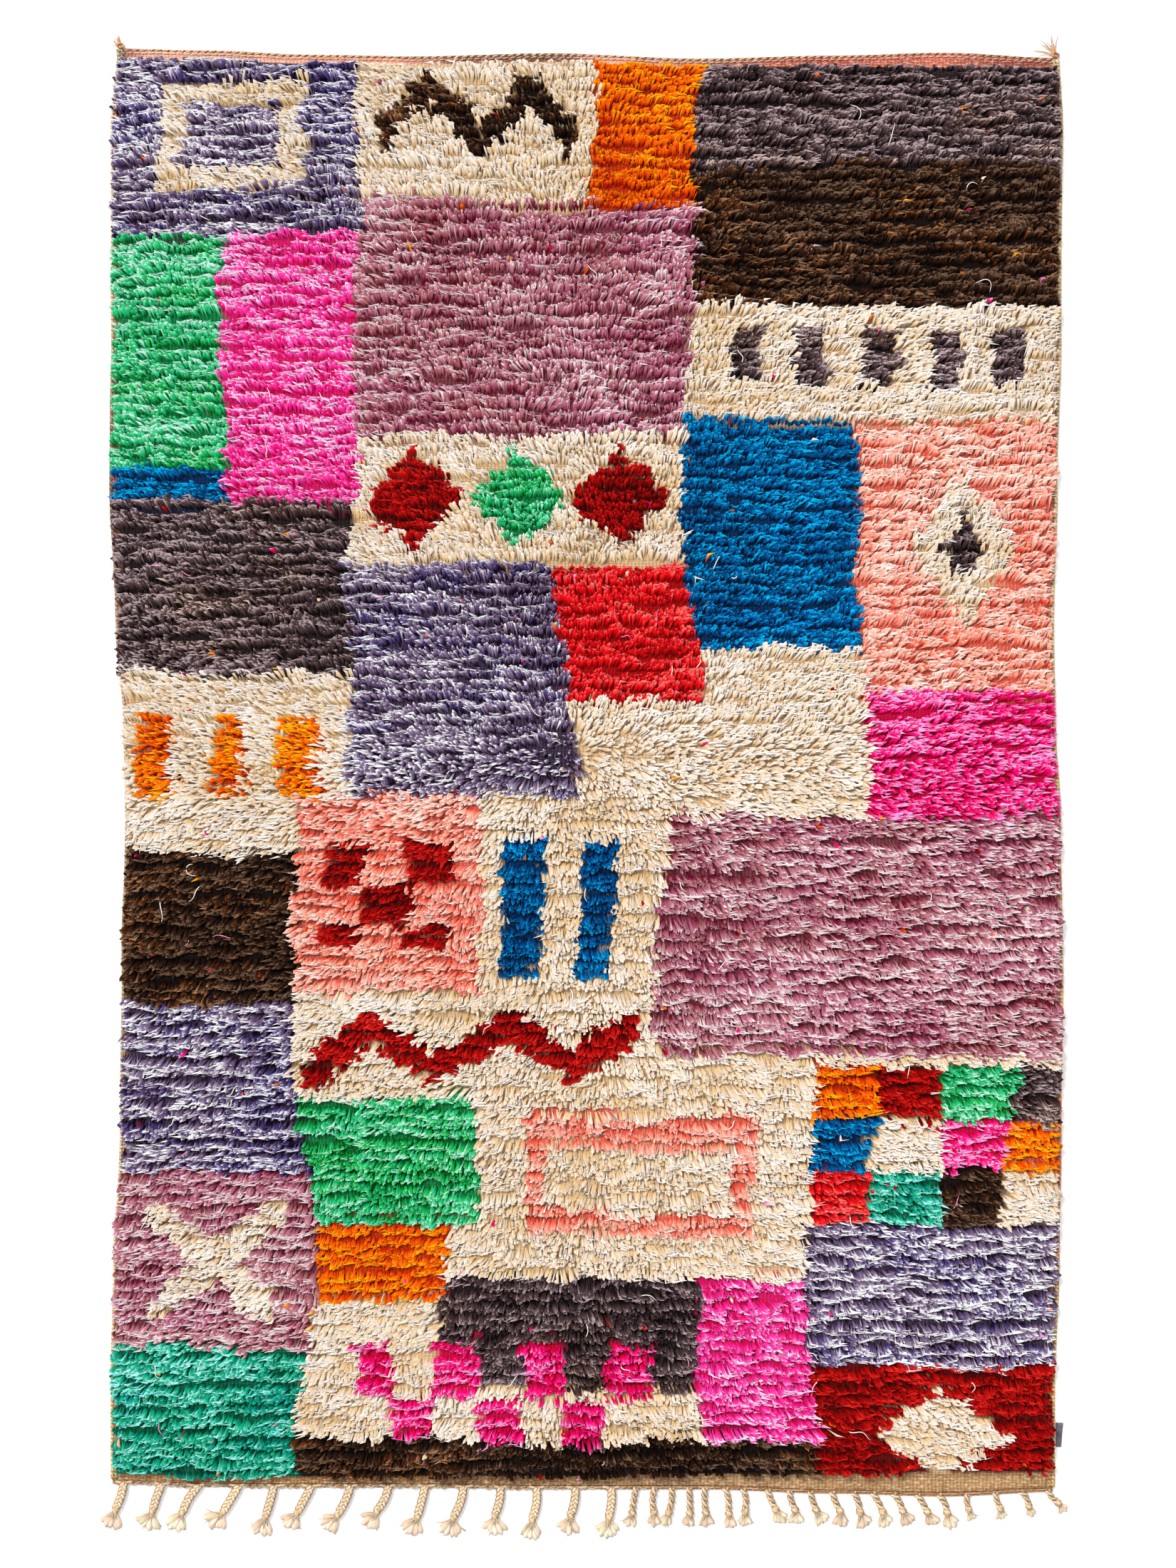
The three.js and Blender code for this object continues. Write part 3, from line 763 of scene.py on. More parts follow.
def yarn_group():
    """Spun yarn: fine slanted plies with painted shade in the grooves between them, paler on their highest
    parts, and a little unevenness of dye, over a given colour.
    """
    if "Spun yarn" in bpy.data.node_groups:
        return bpy.data.node_groups["Spun yarn"]
    group = new_group(
        "Spun yarn",
        [
            ("Colour", "NodeSocketColor", (0.5, 0.5, 0.5, 1)),
            ("Plies", "NodeSocketFloat", 3.0),
            ("Shade", "NodeSocketFloat", 0.5),
        ],
        [("Colour", "NodeSocketColor"), ("Height", "NodeSocketFloat")],
    )
    n = Nodes(group)
    given = n.add("NodeGroupInput")
    result = n.add("NodeGroupOutput")
    uv = n.add("ShaderNodeUVMap", uv_map="along").outputs["UV"]
    parts = n.add("ShaderNodeSeparateXYZ", {"Vector": uv})
    tone = n.attribute("tone")
    turns = n.sum("MULTIPLY", n.sum("ADD", parts.outputs["X"], parts.outputs["Y"]), given.outputs["Plies"])
    ply = n.sum("SINE", n.sum("MULTIPLY_ADD", turns, math.pi, tone))
    fuzz_place = n.add("ShaderNodeCombineXYZ", {"X": parts.outputs["X"], "Y": parts.outputs["Y"], "Z": tone})
    fuzz = n.noise(fuzz_place.outputs[0], 7.0, 4.0)
    height = n.sum("MULTIPLY_ADD", ply, 0.25, fuzz)
    # Painted shade: the low parts between the plies darken by the share given as Shade, and the highest parts
    # turn paler.
    dark = n.blend(given.outputs["Shade"], given.outputs["Colour"], given.outputs["Colour"], "MULTIPLY")
    colour = n.blend(n.step(height, 0.25, 0.8), dark, given.outputs["Colour"])
    colour = n.blend(n.step(height, 0.66, 1.0, 0.0, 0.35), colour, (1.0, 0.97, 0.92, 1))
    n.give(result.inputs["Colour"], colour)
    n.give(result.inputs["Height"], height)
    return group


def yarn_material(name, plies=3.0, shade=0.7, depth=0.0006):
    """Yarn whose colour is carried by the piece's own tint."""
    material, n = new_material(name)
    tint = n.attribute("tint", "Color")
    spun = n.add("ShaderNodeGroup", {"Colour": tint, "Plies": plies, "Shade": shade}, node_tree=yarn_group())
    shader(n, spun.outputs["Colour"], 0.93, spun.outputs["Height"], depth, sheen=0.1)
    return material


# Distances between threads: the weft and warp of the ground weave, and the ribs of the ribbon.
WEFT_PITCH, WARP_PITCH = 0.0026, 0.0062
RIB_PITCH, CROSS_PITCH = 0.0009, 0.0007


def weave_material():
    """A weft-faced ground: packed weft over thick warps, seen as rows of small ribs with painted shade in
    their hollows.
    """
    material, n = new_material("ground_weave")
    tint = n.attribute("tint", "Color")
    place = n.add("ShaderNodeTexCoord").outputs["Object"]
    parts = n.add("ShaderNodeSeparateXYZ", {"Vector": place})
    wander = n.noise(place, 22.0, 2.0)
    weft_bend = n.sum("MULTIPLY", wander, 9.0)
    weft_at = n.sum("MULTIPLY_ADD", parts.outputs["Y"], 2 * math.pi / WEFT_PITCH, weft_bend)
    warp_bend = n.sum("MULTIPLY", wander, 4.0)
    warp_at = n.sum("MULTIPLY_ADD", parts.outputs["X"], 2 * math.pi / WARP_PITCH, warp_bend)
    weft = n.sum("SINE", weft_at)
    warp = n.sum("SINE", warp_at)
    ribs = n.sum("MULTIPLY_ADD", warp, 0.5, n.sum("MULTIPLY", weft, 0.5))
    fuzz = n.noise(place, 900.0, 3.0)
    height = n.sum("MULTIPLY_ADD", fuzz, 0.7, ribs)
    # Painted shade in the hollows between the ribs.
    dark = n.blend(0.75, tint, tint, "MULTIPLY")
    colour = n.blend(n.step(height, -0.5, 0.9), dark, tint)
    stretched = n.add("ShaderNodeMapping", {"Vector": place, "Scale": (110.0, 300.0, 1.0)}).outputs[0]
    streak = n.noise(stretched, 1.0, 2.0)
    bare = n.attribute("bare")
    pale = n.sum("MULTIPLY", bare, n.step(streak, 0.5, 0.66, 0.0, 0.8))
    dark = n.sum("MULTIPLY", bare, n.step(streak, 0.48, 0.3, 0.0, 0.6))
    colour = n.blend(pale, colour, n.blend(0.5, tint, (0.92, 0.76, 0.62, 1)))
    colour = n.blend(dark, colour, n.blend(0.8, tint, tint, "MULTIPLY"))
    shader(n, colour, 0.95, height, 0.0009, sheen=0.08)
    return material


def floor_material(colour):
    """A nearly white floor with a faint grain and a little light of its own."""
    material, n = new_material("pale_floor")
    place = n.add("ShaderNodeTexCoord").outputs["Object"]
    grain = n.noise(place, 3.0, 3.0)
    tone = n.blend(n.step(grain, 0.3, 0.7, 0.0, 0.03), (*colour, 1.0), (0.9, 0.9, 0.9, 1))
    shader(n, tone, 0.8, grain, 0.0001)
    surface = n.tree.nodes["Principled BSDF"]
    surface.inputs["Emission Color"].default_value = (1, 1, 1, 1)
    surface.inputs["Emission Strength"].default_value = 0.2
    return material


def ribbon_material():
    """Plain dark ribbon: a fine rib across it, painted shade in the hollows of the rib, and paler worn
    clouds.
    """
    material, n = new_material("tab_ribbon")
    place = n.add("ShaderNodeTexCoord").outputs["Object"]
    parts = n.add("ShaderNodeSeparateXYZ", {"Vector": place})
    rib = n.sum("SINE", n.sum("MULTIPLY", parts.outputs["Y"], 2 * math.pi / RIB_PITCH))
    cross = n.sum("SINE", n.sum("MULTIPLY", parts.outputs["X"], 2 * math.pi / CROSS_PITCH))
    height = n.sum("MULTIPLY", rib, n.sum("MULTIPLY_ADD", cross, 0.4, 0.6))
    cloud = n.noise(place, 160.0, 3.0)
    # Painted shade in the hollows of the rib.
    colour = n.blend(n.step(height, -1.0, 1.0), colour4((72, 68, 78)), colour4((112, 106, 118)))
    colour = n.blend(n.step(cloud, 0.4, 0.7, 0.0, 0.35), colour, colour4((140, 132, 140)))
    shader(n, colour, 0.6, height, 0.00012, sheen=0.2)
    return material


# ---- What a user may change ----


class RugPileSizes(bpy.types.PropertyGroup):
    """How the pile is knotted."""

    knot_pitch: bpy.props.FloatProperty(
        name="Knot pitch", description="Distance between locks along a row", default=0.0052, min=0.003,
        subtype="DISTANCE", unit="LENGTH",
    )
    lock_width: bpy.props.FloatProperty(
        name="Lock width", description="Width of a lock at its widest", default=0.0072, min=0.002,
        subtype="DISTANCE", unit="LENGTH",
    )
    rise: bpy.props.FloatProperty(
        name="Rise", description="How far the pile stands above the packed knots", default=0.0086, min=0.002,
        subtype="DISTANCE", unit="LENGTH",
    )
    seed: bpy.props.IntProperty(name="Seed", description="Start of the pile's unevenness", default=7)


def body_colour(name, words):
    """A colour to change: that of the body of a lock of one dye."""
    return bpy.props.FloatVectorProperty(
        name=name.capitalize(), description=words, subtype="COLOR", size=3, min=0, max=1,
        default=tuple(linear(DYES[name]["body"])),
    )


class RugDyeColours(bpy.types.PropertyGroup):
    """The colour of each dye along the body of a lock."""

    cream: body_colour("cream", "Undyed wool")
    periwinkle: body_colour("periwinkle", "Grey wool with lavender and purple in it")
    mauve: body_colour("mauve", "Dusty rose")
    charcoal: body_colour("charcoal", "Dark natural grey")
    brown: body_colour("brown", "Dark natural brown")
    pink: body_colour("pink", "Bright pink")
    fuchsia: body_colour("fuchsia", "Strong pink")
    salmon: body_colour("salmon", "Pale coral")
    green: body_colour("green", "Leaf green")
    mint: body_colour("mint", "Blue green")
    blue: body_colour("blue", "Sea blue")
    red: body_colour("red", "Bright red")
    madder: body_colour("madder", "Deep red")
    orange: body_colour("orange", "Bright orange")


class RugWeaveSizes(bpy.types.PropertyGroup):
    """The ground weave, its ends and its bound sides."""

    weave_thickness: bpy.props.FloatProperty(
        name="Weave", description="Thickness of the bare weave", default=0.004,
        subtype="DISTANCE", unit="LENGTH",
    )
    bed_height: bpy.props.FloatProperty(
        name="Pile bed", description="Height of the packed knots under the pile", default=0.0134,
        subtype="DISTANCE", unit="LENGTH",
    )
    binding_radius: bpy.props.FloatProperty(
        name="Binding", description="Radius of the bound side cords", default=0.0034,
        subtype="DISTANCE", unit="LENGTH",
    )
    wrap_pitch: bpy.props.FloatProperty(
        name="Wrap pitch", description="Distance between the wraps of the binding", default=0.0062,
        subtype="DISTANCE", unit="LENGTH",
    )


class RugTasselSizes(bpy.types.PropertyGroup):
    """The plaited warp ends."""

    ply_share: bpy.props.FloatProperty(
        name="Ply", description="Radius of a ply as a share of its cord's width", default=0.225,
        subtype="FACTOR",
    )
    ends_per_tuft: bpy.props.IntProperty(
        name="Cut ends", description="Thin threads over the cut end of a wide tassel", default=14
    )
    warp_colour: bpy.props.FloatVectorProperty(
        name="Warp", description="Colour of the undyed warp", subtype="COLOR", size=3, min=0, max=1,
        default=tuple(linear((228, 208, 180))),
    )


class RugStageSettings(bpy.types.PropertyGroup):
    """The camera, the light and the floor."""

    lens: bpy.props.FloatProperty(name="Lens", description="Focal length in millimetres", default=100.0)
    frame_height: bpy.props.FloatProperty(
        name="Frame height", description="Height of the floor that the camera takes in", default=2.652,
        subtype="DISTANCE", unit="LENGTH",
    )
    sun_strength: bpy.props.FloatProperty(
        name="Key light", description="Strength of the key light", default=3.5
    )
    sky_strength: bpy.props.FloatProperty(
        name="Fill light", description="Strength of the soft fill", default=0.72
    )
    floor_colour: bpy.props.FloatVectorProperty(
        name="Floor", description="Colour of the floor", subtype="COLOR", size=3, min=0, max=1,
        default=(0.93, 0.93, 0.93),
    )


GROUPS = {
    "rug_pile": RugPileSizes,
    "rug_dyes": RugDyeColours,
    "rug_weave": RugWeaveSizes,
    "rug_tassels": RugTasselSizes,
    "rug_stage": RugStageSettings,
}


# ---- Pieces ----


def settle(values, seed, spread):
    """A little unevenness for an array of values."""
    rng = np.random.default_rng(seed)
    return values + rng.uniform(-spread, spread, np.shape(values))


def weave_places(columns=104, middle_rows=142, end_rows=6, past=0.004, inset=0.0045):
    """A grid of places over the weave, finer over its bare ends.

    It is given with how far each place lies inside the knotted field, from the ends and from the sides.
    """
    share = np.linspace(0, 1, columns)
    top_weave = between(END_SHAPE, "top_weave", share) * MM
    bottom_weave = between(END_SHAPE, "bottom_weave", share) * MM - EDGING_WIDTH - GAP
    high = top_y(share) - top_weave - past
    low = weave_end_y(share) + bottom_weave + past
    ends = [k / (end_rows - 1) for k in range(end_rows)]
    lines = [top_y(share) - at * (top_weave + past) for at in ends]
    lines += [high + (low - high) * ((j + 1) / (middle_rows + 1)) for j in range(middle_rows)]
    lines += [weave_end_y(share) + (1 - at) * (bottom_weave + past) for at in ends]
    y = np.array(lines)
    down = down_of(y)
    x = left_x(down) + inset + (right_x(down) - left_x(down) - 2 * inset) * share
    from_end = np.minimum(top_y(share) - top_weave - y, y - weave_end_y(share) - bottom_weave)
    return x, y, from_end, np.minimum(share, 1 - share) * WIDTH


def closed_sheet(name, x, y, z):
    """A mesh over a grid of places: its upper face, a flat back on the floor and the wall between them."""
    grid = np.arange(x.size).reshape(x.shape)
    a, b = grid[:-1, :-1].ravel(), grid[:-1, 1:].ravel()
    c, d = grid[1:, 1:].ravel(), grid[1:, :-1].ravel()
    over = np.concatenate([np.stack([a, d, c], -1), np.stack([a, c, b], -1)])
    below = over[:, ::-1] + x.size
    edge = np.concatenate([grid[-1, :-1], grid[:0:-1, -1], grid[0, :0:-1], grid[:-1, 0]])
    turned = np.roll(edge, -1)
    wall = [
        np.stack([edge, edge + x.size, turned], -1),
        np.stack([turned, edge + x.size, turned + x.size], -1),
    ]
    points = np.concatenate([laid(x, y, z).reshape(-1, 3), laid(x, y, 0.0).reshape(-1, 3)])
    return mesh_object(name, points, np.concatenate([over, below, *wall]))


class RUG_OT_ground_weave(bpy.types.Operator):
    """Weave the ground from end to end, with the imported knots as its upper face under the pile"""

    bl_idname = "rug.ground_weave"
    bl_label = "Ground weave"

    def execute(self, context):
        sizes = context.scene.rug_weave
        x, y, from_end, from_side = weave_places()
        knots = ease(from_end, -0.001, 0.005) * ease(from_side, 0.002, 0.012)
        uneven = 0.0004
        z = sizes.weave_thickness - uneven + uneven * drift(x, y, 0.012, 31)
        z = z + knots * (sizes.bed_height - sizes.weave_thickness + 0.0012 * drift(x, y, 0.03, 32))
        piece = closed_sheet("ground_weave", x, y, z)

        # The imported knots show the dark roots of the pile, partly painted shade deep in the pile, and the
        # back of the rug shows its body.
        roots = np.array([linear(dye["root"]) * 0.7 + linear(dye["body"]) * 0.3 for dye in DYES.values()])
        backs = np.array([linear(dye["body"]) * 0.8 for dye in DYES.values()])
        dyes = dyes_at(x, y)
        top_weft = linear(between(TOP_WEFT, "colour", across_of(x)))
        bottom_weft = linear(between(BOTTOM_WEFT, "colour", across_of(x)))
        weft = np.where((y > 0)[..., None], top_weft, bottom_weft)
        cloud = 1 + 0.16 * drift(x, y, 0.03, 33)[..., None]
        knotted = (knots > 0.5)[..., None]
        upper = np.where(knotted, roots[dyes], weft * cloud)
        under = np.where(knotted, backs[dyes], weft)
        give_tint(piece, np.concatenate([upper.reshape(-1, 3), under.reshape(-1, 3)]))
        give_number(piece, "bare", np.tile((1 - knots).ravel(), 2))
        stands_for(piece, weave_material(), "wool_pile", "rug")
        return {"FINISHED"}


def row_wave(x, rows):
    """How far a row strays from straight."""
    return 0.0035 * drift(x, rows * 7.0, 0.22, 21) + 0.0054 * drift(x, rows * 0.37, 0.05, 22)


def knot_places(knot_pitch, seed):
    """The roots of the locks: three staggered lines of knots to a row."""
    down = np.arange(0.5, LENGTH / ROW) * ROW
    along = np.arange(0.5, WIDTH / knot_pitch + 8) * knot_pitch - WIDTH / 2 - 4 * knot_pitch
    x, y = np.meshgrid(along, LENGTH / 2 - down)
    rows = np.broadcast_to(np.arange(len(down))[:, None], x.shape)
    x = np.concatenate([x, x + knot_pitch / 3, x + knot_pitch / 1.5]).ravel()
    y = np.concatenate([y, y - LINE_PITCH, y - 2 * LINE_PITCH]).ravel()
    rows = np.concatenate([rows, rows, rows]).ravel()
    y = y + row_wave(x, rows)
    x = settle(x, seed, 0.0014)
    y = settle(y, seed + 1, 0.0018)
    across, level = across_of(x), down_of(y)
    from_top = top_y(across) - between(END_SHAPE, "top_weave", across) * MM - y
    from_bottom = y - bottom_y(across) - between(END_SHAPE, "bottom_weave", across) * MM
    clear = np.minimum(
        np.minimum(x - left_x(level), right_x(level) - x) - SIDE_MARGIN,
        np.minimum(from_top, from_bottom) - END_MARGIN,
    )
    kept = clear > 0
    return x[kept], y[kept], rows[kept], clear[kept]


def tuft_edge(x, rows, clump):
    """How far out the edge of a row stands at each place, and a number for the tuft there."""
    cell = 0.011 + 0.02 * clump
    place = x / cell + 13 * chance(rows, 57) + 0.5 * drift(x, rows * 0.9, 0.06, 58)
    tuft = chance(np.floor(place), rows, 55)
    inside = 2 * (place - np.floor(place)) - 1
    wave = drift(x, rows * 3.1, 0.03, 53) + 0.8 * drift(x, rows * 2.3, 0.085, 54)
    return (0.0052 * tuft + 0.0048 * wave - 0.0036 * inside**2) * (0.75 + 0.4 * clump), tuft


def hold_in(points, slack, rng):
    """Keeps points of the pile inside a ragged line around the knotted field."""
    count = len(points)
    level, over = down_of(points[:, 1]), across_of(points[:, 0])
    left = left_x(level) + rng.uniform(-0.0035, 0.007, count)
    right = right_x(level) - rng.uniform(-0.001, 0.008, count)
    points[:, 0] = np.clip(points[:, 0], left, right)
    low = bottom_y(over) + (between(END_SHAPE, "bottom_weave", over) - 2) * MM
    low = low - rng.uniform(0, slack, count)
    high = top_y(over) - (between(END_SHAPE, "top_weave", over) - 1) * MM
    high = high + rng.uniform(-0.002, slack * 0.5, count)
    points[:, 1] = np.clip(points[:, 1], low, high)


# A lock is five points: its foot, the two sides and the ridge of its crest, and its tip.
LOCK_POINTS = 5
LOCK_FACES = np.array([[0, 2, 1], [0, 3, 2], [0, 1, 3], [1, 2, 4], [2, 3, 4], [3, 1, 4]])
LOCK_SIDES = [(0, 1), (0, 2), (1, 4), (2, 4)]
LOCK_UV = np.array([[0.5, 0], [0, 0.56], [1, 0.56], [0.5, 0.6], [0.5, 1.0]])


def lock_points(root, crest, tip, rise, tip_height, width, roll, crown):
    """The points of every lock. Its crest lies across the way it bends, and is a little rolled."""
    bend = tip - root
    bend /= np.linalg.norm(bend, axis=1)[:, None]
    aside = np.stack([bend[:, 1], -bend[:, 0]], -1)
    half = aside * width[:, None] / 2
    thick = width * crown
    top = LOCK_FOOT + rise

    def at(place, height):
        return np.concatenate([place, height[:, None]], -1)

    foot = at(root, np.full(len(root), LOCK_FOOT - 0.001))
    left = at(crest - half, top - thick * (0.3 + roll * 0.5))
    right = at(crest + half, top - thick * (0.3 - roll * 0.5))
    ridge = at(crest + aside * (width * roll * 0.3)[:, None], top + thick * 0.7)
    return np.stack([foot, left, right, ridge, at(tip, LOCK_FOOT + tip_height)], 1)


# A few locks are knotted in another dye by chance.
STRAY_SHARE = 0.0024
STRAY_DYES = ("fuchsia", "orange", "cream", "mauve", "madder")


def pile_locks(sizes):
    """Every lock of the pile, as arrays: the number of its dye, its points, its tone and its lot of yarn."""
    x, y, rows, clear = knot_places(sizes.knot_pitch, sizes.seed)
    count = len(x)
    rng = np.random.default_rng(sizes.seed + 2)
    names = list(DYES)
    dyes = dyes_at(x, y)
    stray = rng.random(count) < STRAY_SHARE
    dyes[stray] = rng.choice([names.index(name) for name in STRAY_DYES], stray.sum())

    def of_dye(key, usual=None):
        return np.array([DYES[name].get(key, usual) for name in names])[dyes]

    # The way each lock lies. At the parting it is left to chance.
    clump, sweep = of_dye("clump"), of_dye("sweep")
    angle = lie_of(x, y)
    sideways = 1 - np.abs(np.cos(angle))
    angle = angle + rng.normal(0, 0.08, count) * (1 + sweep) + rng.normal(0, 0.75, count) * sideways**2
    middle = np.exp(-np.sum(np.square(from_parting(x, y)), axis=0) / PARTING_RADIUS**2)
    angle = angle + 2.4 * middle * chance(np.arange(count), 93)
    along = np.stack([np.sin(angle), np.cos(angle)], -1)
    root = np.stack([x, y], -1)

    # A row is a chain of tufts. Along its lip lie thin ends, swept sideways, which are pale as painted light
    # on the crest. Locks are short near the edge of the field.
    full = ease(clear, 0.0, 0.016)
    edge, tuft = tuft_edge(x, rows, clump)
    lip = rng.random(count) < 0.24 + 0.14 * sweep
    reach = of_dye("length") * MM * (0.58 + 0.07 * drift(x, rows * 5.3, 0.13, 44)) * (0.75 + 0.25 * full)
    reach = reach * np.where(lip, 1.0, rng.uniform(0.9, 1.14, count)) + lip * 0.0032
    reach = reach * (1 - 0.6 * middle)
    crest = root + along * (reach + edge)[:, None]
    row_y = LENGTH / 2 - (rows + 0.5) * ROW - LINE_PITCH + row_wave(x, rows)
    gather = np.where(lip, 0.8, 0.15 + 0.3 * clump) * of_dye("gather", USUAL_GATHER)
    crest[:, 1] += (row_y - y) * gather * (1 - 0.8 * sideways)
    outward = np.clip(x / 0.3 + 0.9 * drift(x, rows * 1.7, 0.07, 59) + 0.5 * tuft, -1, 1)
    swept = outward * (0.004 + 0.0105 * lip) * (0.45 + 0.55 * sweep) * rng.uniform(0.5, 1.3, count)
    forward = np.where(lip, 0.0008, 0.0052 * rng.uniform(0.2, 1.2, count)) * full
    tip = crest + along * forward[:, None]
    tip[:, 0] += swept
    further, _ = tuft_edge(tip[:, 0], rows, clump)
    follow = lip * along[:, 1] * np.clip(further - edge, -0.004, 0.004)
    tip[:, 1] += follow + 0.0012 * rng.normal(0, 1, count)

    # How high its crest and its tip stand.
    lump = 0.0018 * drift(x, y, 0.21, 41) + 0.0016 * drift(x, y, 0.05, 42) + 0.0022 * tuft
    rise = (sizes.rise * rng.uniform(0.72, 1.05, count) + lump + 0.0008 * lip) * (0.5 + 0.5 * full)
    tip_height = sizes.rise * rng.uniform(0.62, 1.0, count) + lump + lip * 0.0014
    tip_height = np.maximum(tip_height * (0.4 + 0.6 * full), 0.0005)
    hold_in(crest, 0.002, rng)
    hold_in(tip, 0.008, rng)
    width = sizes.lock_width * rng.uniform(0.7, 1.25, count) * (1 - 0.42 * lip)
    roll = rng.uniform(-0.5, 0.5, count)
    points = lock_points(root, crest, tip, rise, tip_height, width, roll, of_dye("crown", USUAL_CROWN))

    # The wool's tone changes a little from place to place, and a second lot of yarn comes in by patches. The
    # tone is raised on higher tufts and on the lips too: painted light on the crests.
    bands = drift(x * 0.22, y, 0.024, 61) + 0.6 * drift(x * 0.3, y, 0.06, 65)
    abrash = 0.5 * bands + 0.5 * drift(x, y, 0.12, 62)
    tone = 0.2 * abrash + 0.16 * tuft + 0.42 * lip + rng.normal(0, 0.09, count)
    pull = 0.5 + 0.34 * drift(x * 0.2, y, 0.022, 63) + 0.34 * drift(x, y * 1.6, 0.13, 64)
    lot = (0.35 * rng.random(count) + 0.65 * pull < of_dye("mixed")).astype(float)
    return dyes, points, tone, lot


def part_at_sides(piece):
    """Marks the sides of every lock sharp, so that its upper face is shaded by itself."""
    edges = piece.data.edges
    ends = np.empty(len(edges) * 2, dtype=np.int32)
    edges.foreach_get("vertices", ends)
    pair = np.sort(ends.reshape(-1, 2) % LOCK_POINTS, axis=1)
    sharp = piece.data.attributes.new("sharp_edge", "BOOLEAN", "EDGE")
    codes = [low * LOCK_POINTS + high for low, high in LOCK_SIDES]
    sharp.data.foreach_set("value", np.isin(pair[:, 0] * LOCK_POINTS + pair[:, 1], codes))


# A piece of more triangles than this is made as two or three.
MOST_TRIANGLES = 190000


class RUG_OT_wool_pile(bpy.types.Operator):
    """Knot the pile, as one piece for each dye"""

    bl_idname = "rug.wool_pile"
    bl_label = "Wool pile"

    def execute(self, context):
        dyes, points, tone, lot = pile_locks(context.scene.rug_pile)
        for number, (name, dye) in enumerate(DYES.items()):
            mine = np.flatnonzero(dyes == number)
            material = wool_material(name, getattr(context.scene.rug_dyes, name), dye)
            parts = 1 + len(mine) * len(LOCK_FACES) // MOST_TRIANGLES
            for part, chosen in enumerate(np.array_split(mine, parts)):
                label = f"pile_{name}" if parts == 1 else f"pile_{name}_{'abc'[part]}"
                first = np.arange(len(chosen))[:, None, None] * LOCK_POINTS
                triangles = (LOCK_FACES[None] + first).reshape(-1, 3)
                piece = mesh_object(label, points[chosen].reshape(-1, 3), triangles)
                part_at_sides(piece)
                give_uv(piece, np.tile(LOCK_UV, (len(chosen), 1)), triangles)
                give_number(piece, "tone", np.repeat(tone[chosen], LOCK_POINTS))
                give_number(piece, "lot", np.repeat(lot[chosen], LOCK_POINTS))
                stands_for(piece, material, "wool_pile", "rug")
        return {"FINISHED"}


class RUG_OT_bound_sides(bpy.types.Operator):
    """Wrap the cords of both sides"""

    bl_idname = "rug.bound_sides"
    bl_label = "Bound sides"

    def execute(self, context):
        sizes = context.scene.rug_weave
        for name, side, table in (("left_binding", -1, LEFT_BINDING), ("right_binding", 1, RIGHT_BINDING)):
            yarns = Yarns()
            step = sizes.wrap_pitch / 2
            corner = 0.5 + side / 2
            y = np.arange(weave_end_y(corner) + 0.003, top_y(corner) - 0.002, step)
            down = down_of(y)
            edge = right_x(down) if side > 0 else left_x(down)
            wrap = np.arange(len(y)) % 2
            fat = sizes.binding_radius * (1 + 0.13 * (wrap * 2 - 1) + 0.08 * waver(y, 0.05, 71 + side))
            x = edge - side * (fat + 0.0006) + 0.0007 * waver(y, 0.09, 73 + side)
            # Every other point along the cord is thinner and darker: painted shade between the wraps.
            tint = linear(between(table, "colour", down)) * (0.7 + 0.4 * wrap)[:, None]
            tint = tint * (1 + 0.18 * waver(y, 0.02, 75 + side))[:, None]
            yarns.add(laid(x, y, fat), fat, sides=7, tint=tint)
            inner = x - side * sizes.binding_radius * 1.75
            yarns.add(laid(inner, y, fat * 1.02), fat * 0.95, tint=tint * 0.85)
            piece = yarns.piece(name)
            stands_for(piece, yarn_material(name, plies=2.0), "wool_pile", "rug")
        return {"FINISHED"}


# The length of one turn: of the two selvage cords, of the edging, of a plait and of a two-ply tassel.
SELVAGE_TURN, FLECKED_TURN = 0.013, 0.012
EDGING_TURN = 0.013
PLAIT_TURN, CORD_TURN = 0.0225, 0.021


def twisted(path, radius, pitch, plies, yarns, tint, tone=0.0, share=0.52, sides=6, second=None, rim=0.0):
    """Lays plies round a path, every other one in a second colour if there is one."""
    path = np.asarray(path)
    along = lengths_along(path)
    tangent = np.gradient(path, axis=0)
    tangent /= np.linalg.norm(tangent, axis=1)[:, None]
    side = np.cross(tangent, [0, 0, 1.0])
    side /= np.linalg.norm(side, axis=1)[:, None]
    up = np.cross(side, tangent)
    for k in range(plies):
        turn = (2 * math.pi * along / pitch + 2 * math.pi * k / plies)[:, None]
        offset = radius * (1 - share) * (side * np.cos(turn) + up * np.sin(turn))
        colour = tint if second is None or k % 2 == 0 else second
        yarns.add(path + offset, radius * share, sides=sides, tint=colour, tone=tone + k * 1.7, rim=rim)


def top_selvage():
    """A two-coloured cord along the top end, with a thinner flecked one below it."""
    yarns = Yarns()
    across = np.linspace(0.004, 0.996, 400)
    x = (across - 0.5) * WIDTH
    y = top_y(across) - 0.0026 + 0.0005 * waver(x, 0.03, 81)
    shade = 0.6 + 0.3 * waver(x, 0.11, 82)[:, None]
    straw = linear((232, 212, 176)) * shade + linear((170, 140, 96)) * (1 - shade)
    olive = linear((122, 104, 58)) * shade + linear((96, 64, 44)) * (1 - shade)
    twisted(laid(x, y, 0.0026), 0.0026, SELVAGE_TURN, 2, yarns, straw, second=olive)
    rust = linear(between(TOP_WEFT, "colour", across))
    flecked = rust * 0.35 + linear((248, 214, 196)) * 0.65
    path = laid(x, y - 0.0046, 0.0038)
    twisted(path, 0.0019, FLECKED_TURN, 2, yarns, rust * 0.8, tone=3.0, second=flecked)
    return yarns


EDGING_LEFT, EDGING_RIGHT = -0.800, 0.789
LOOP_PITCH = 0.0125


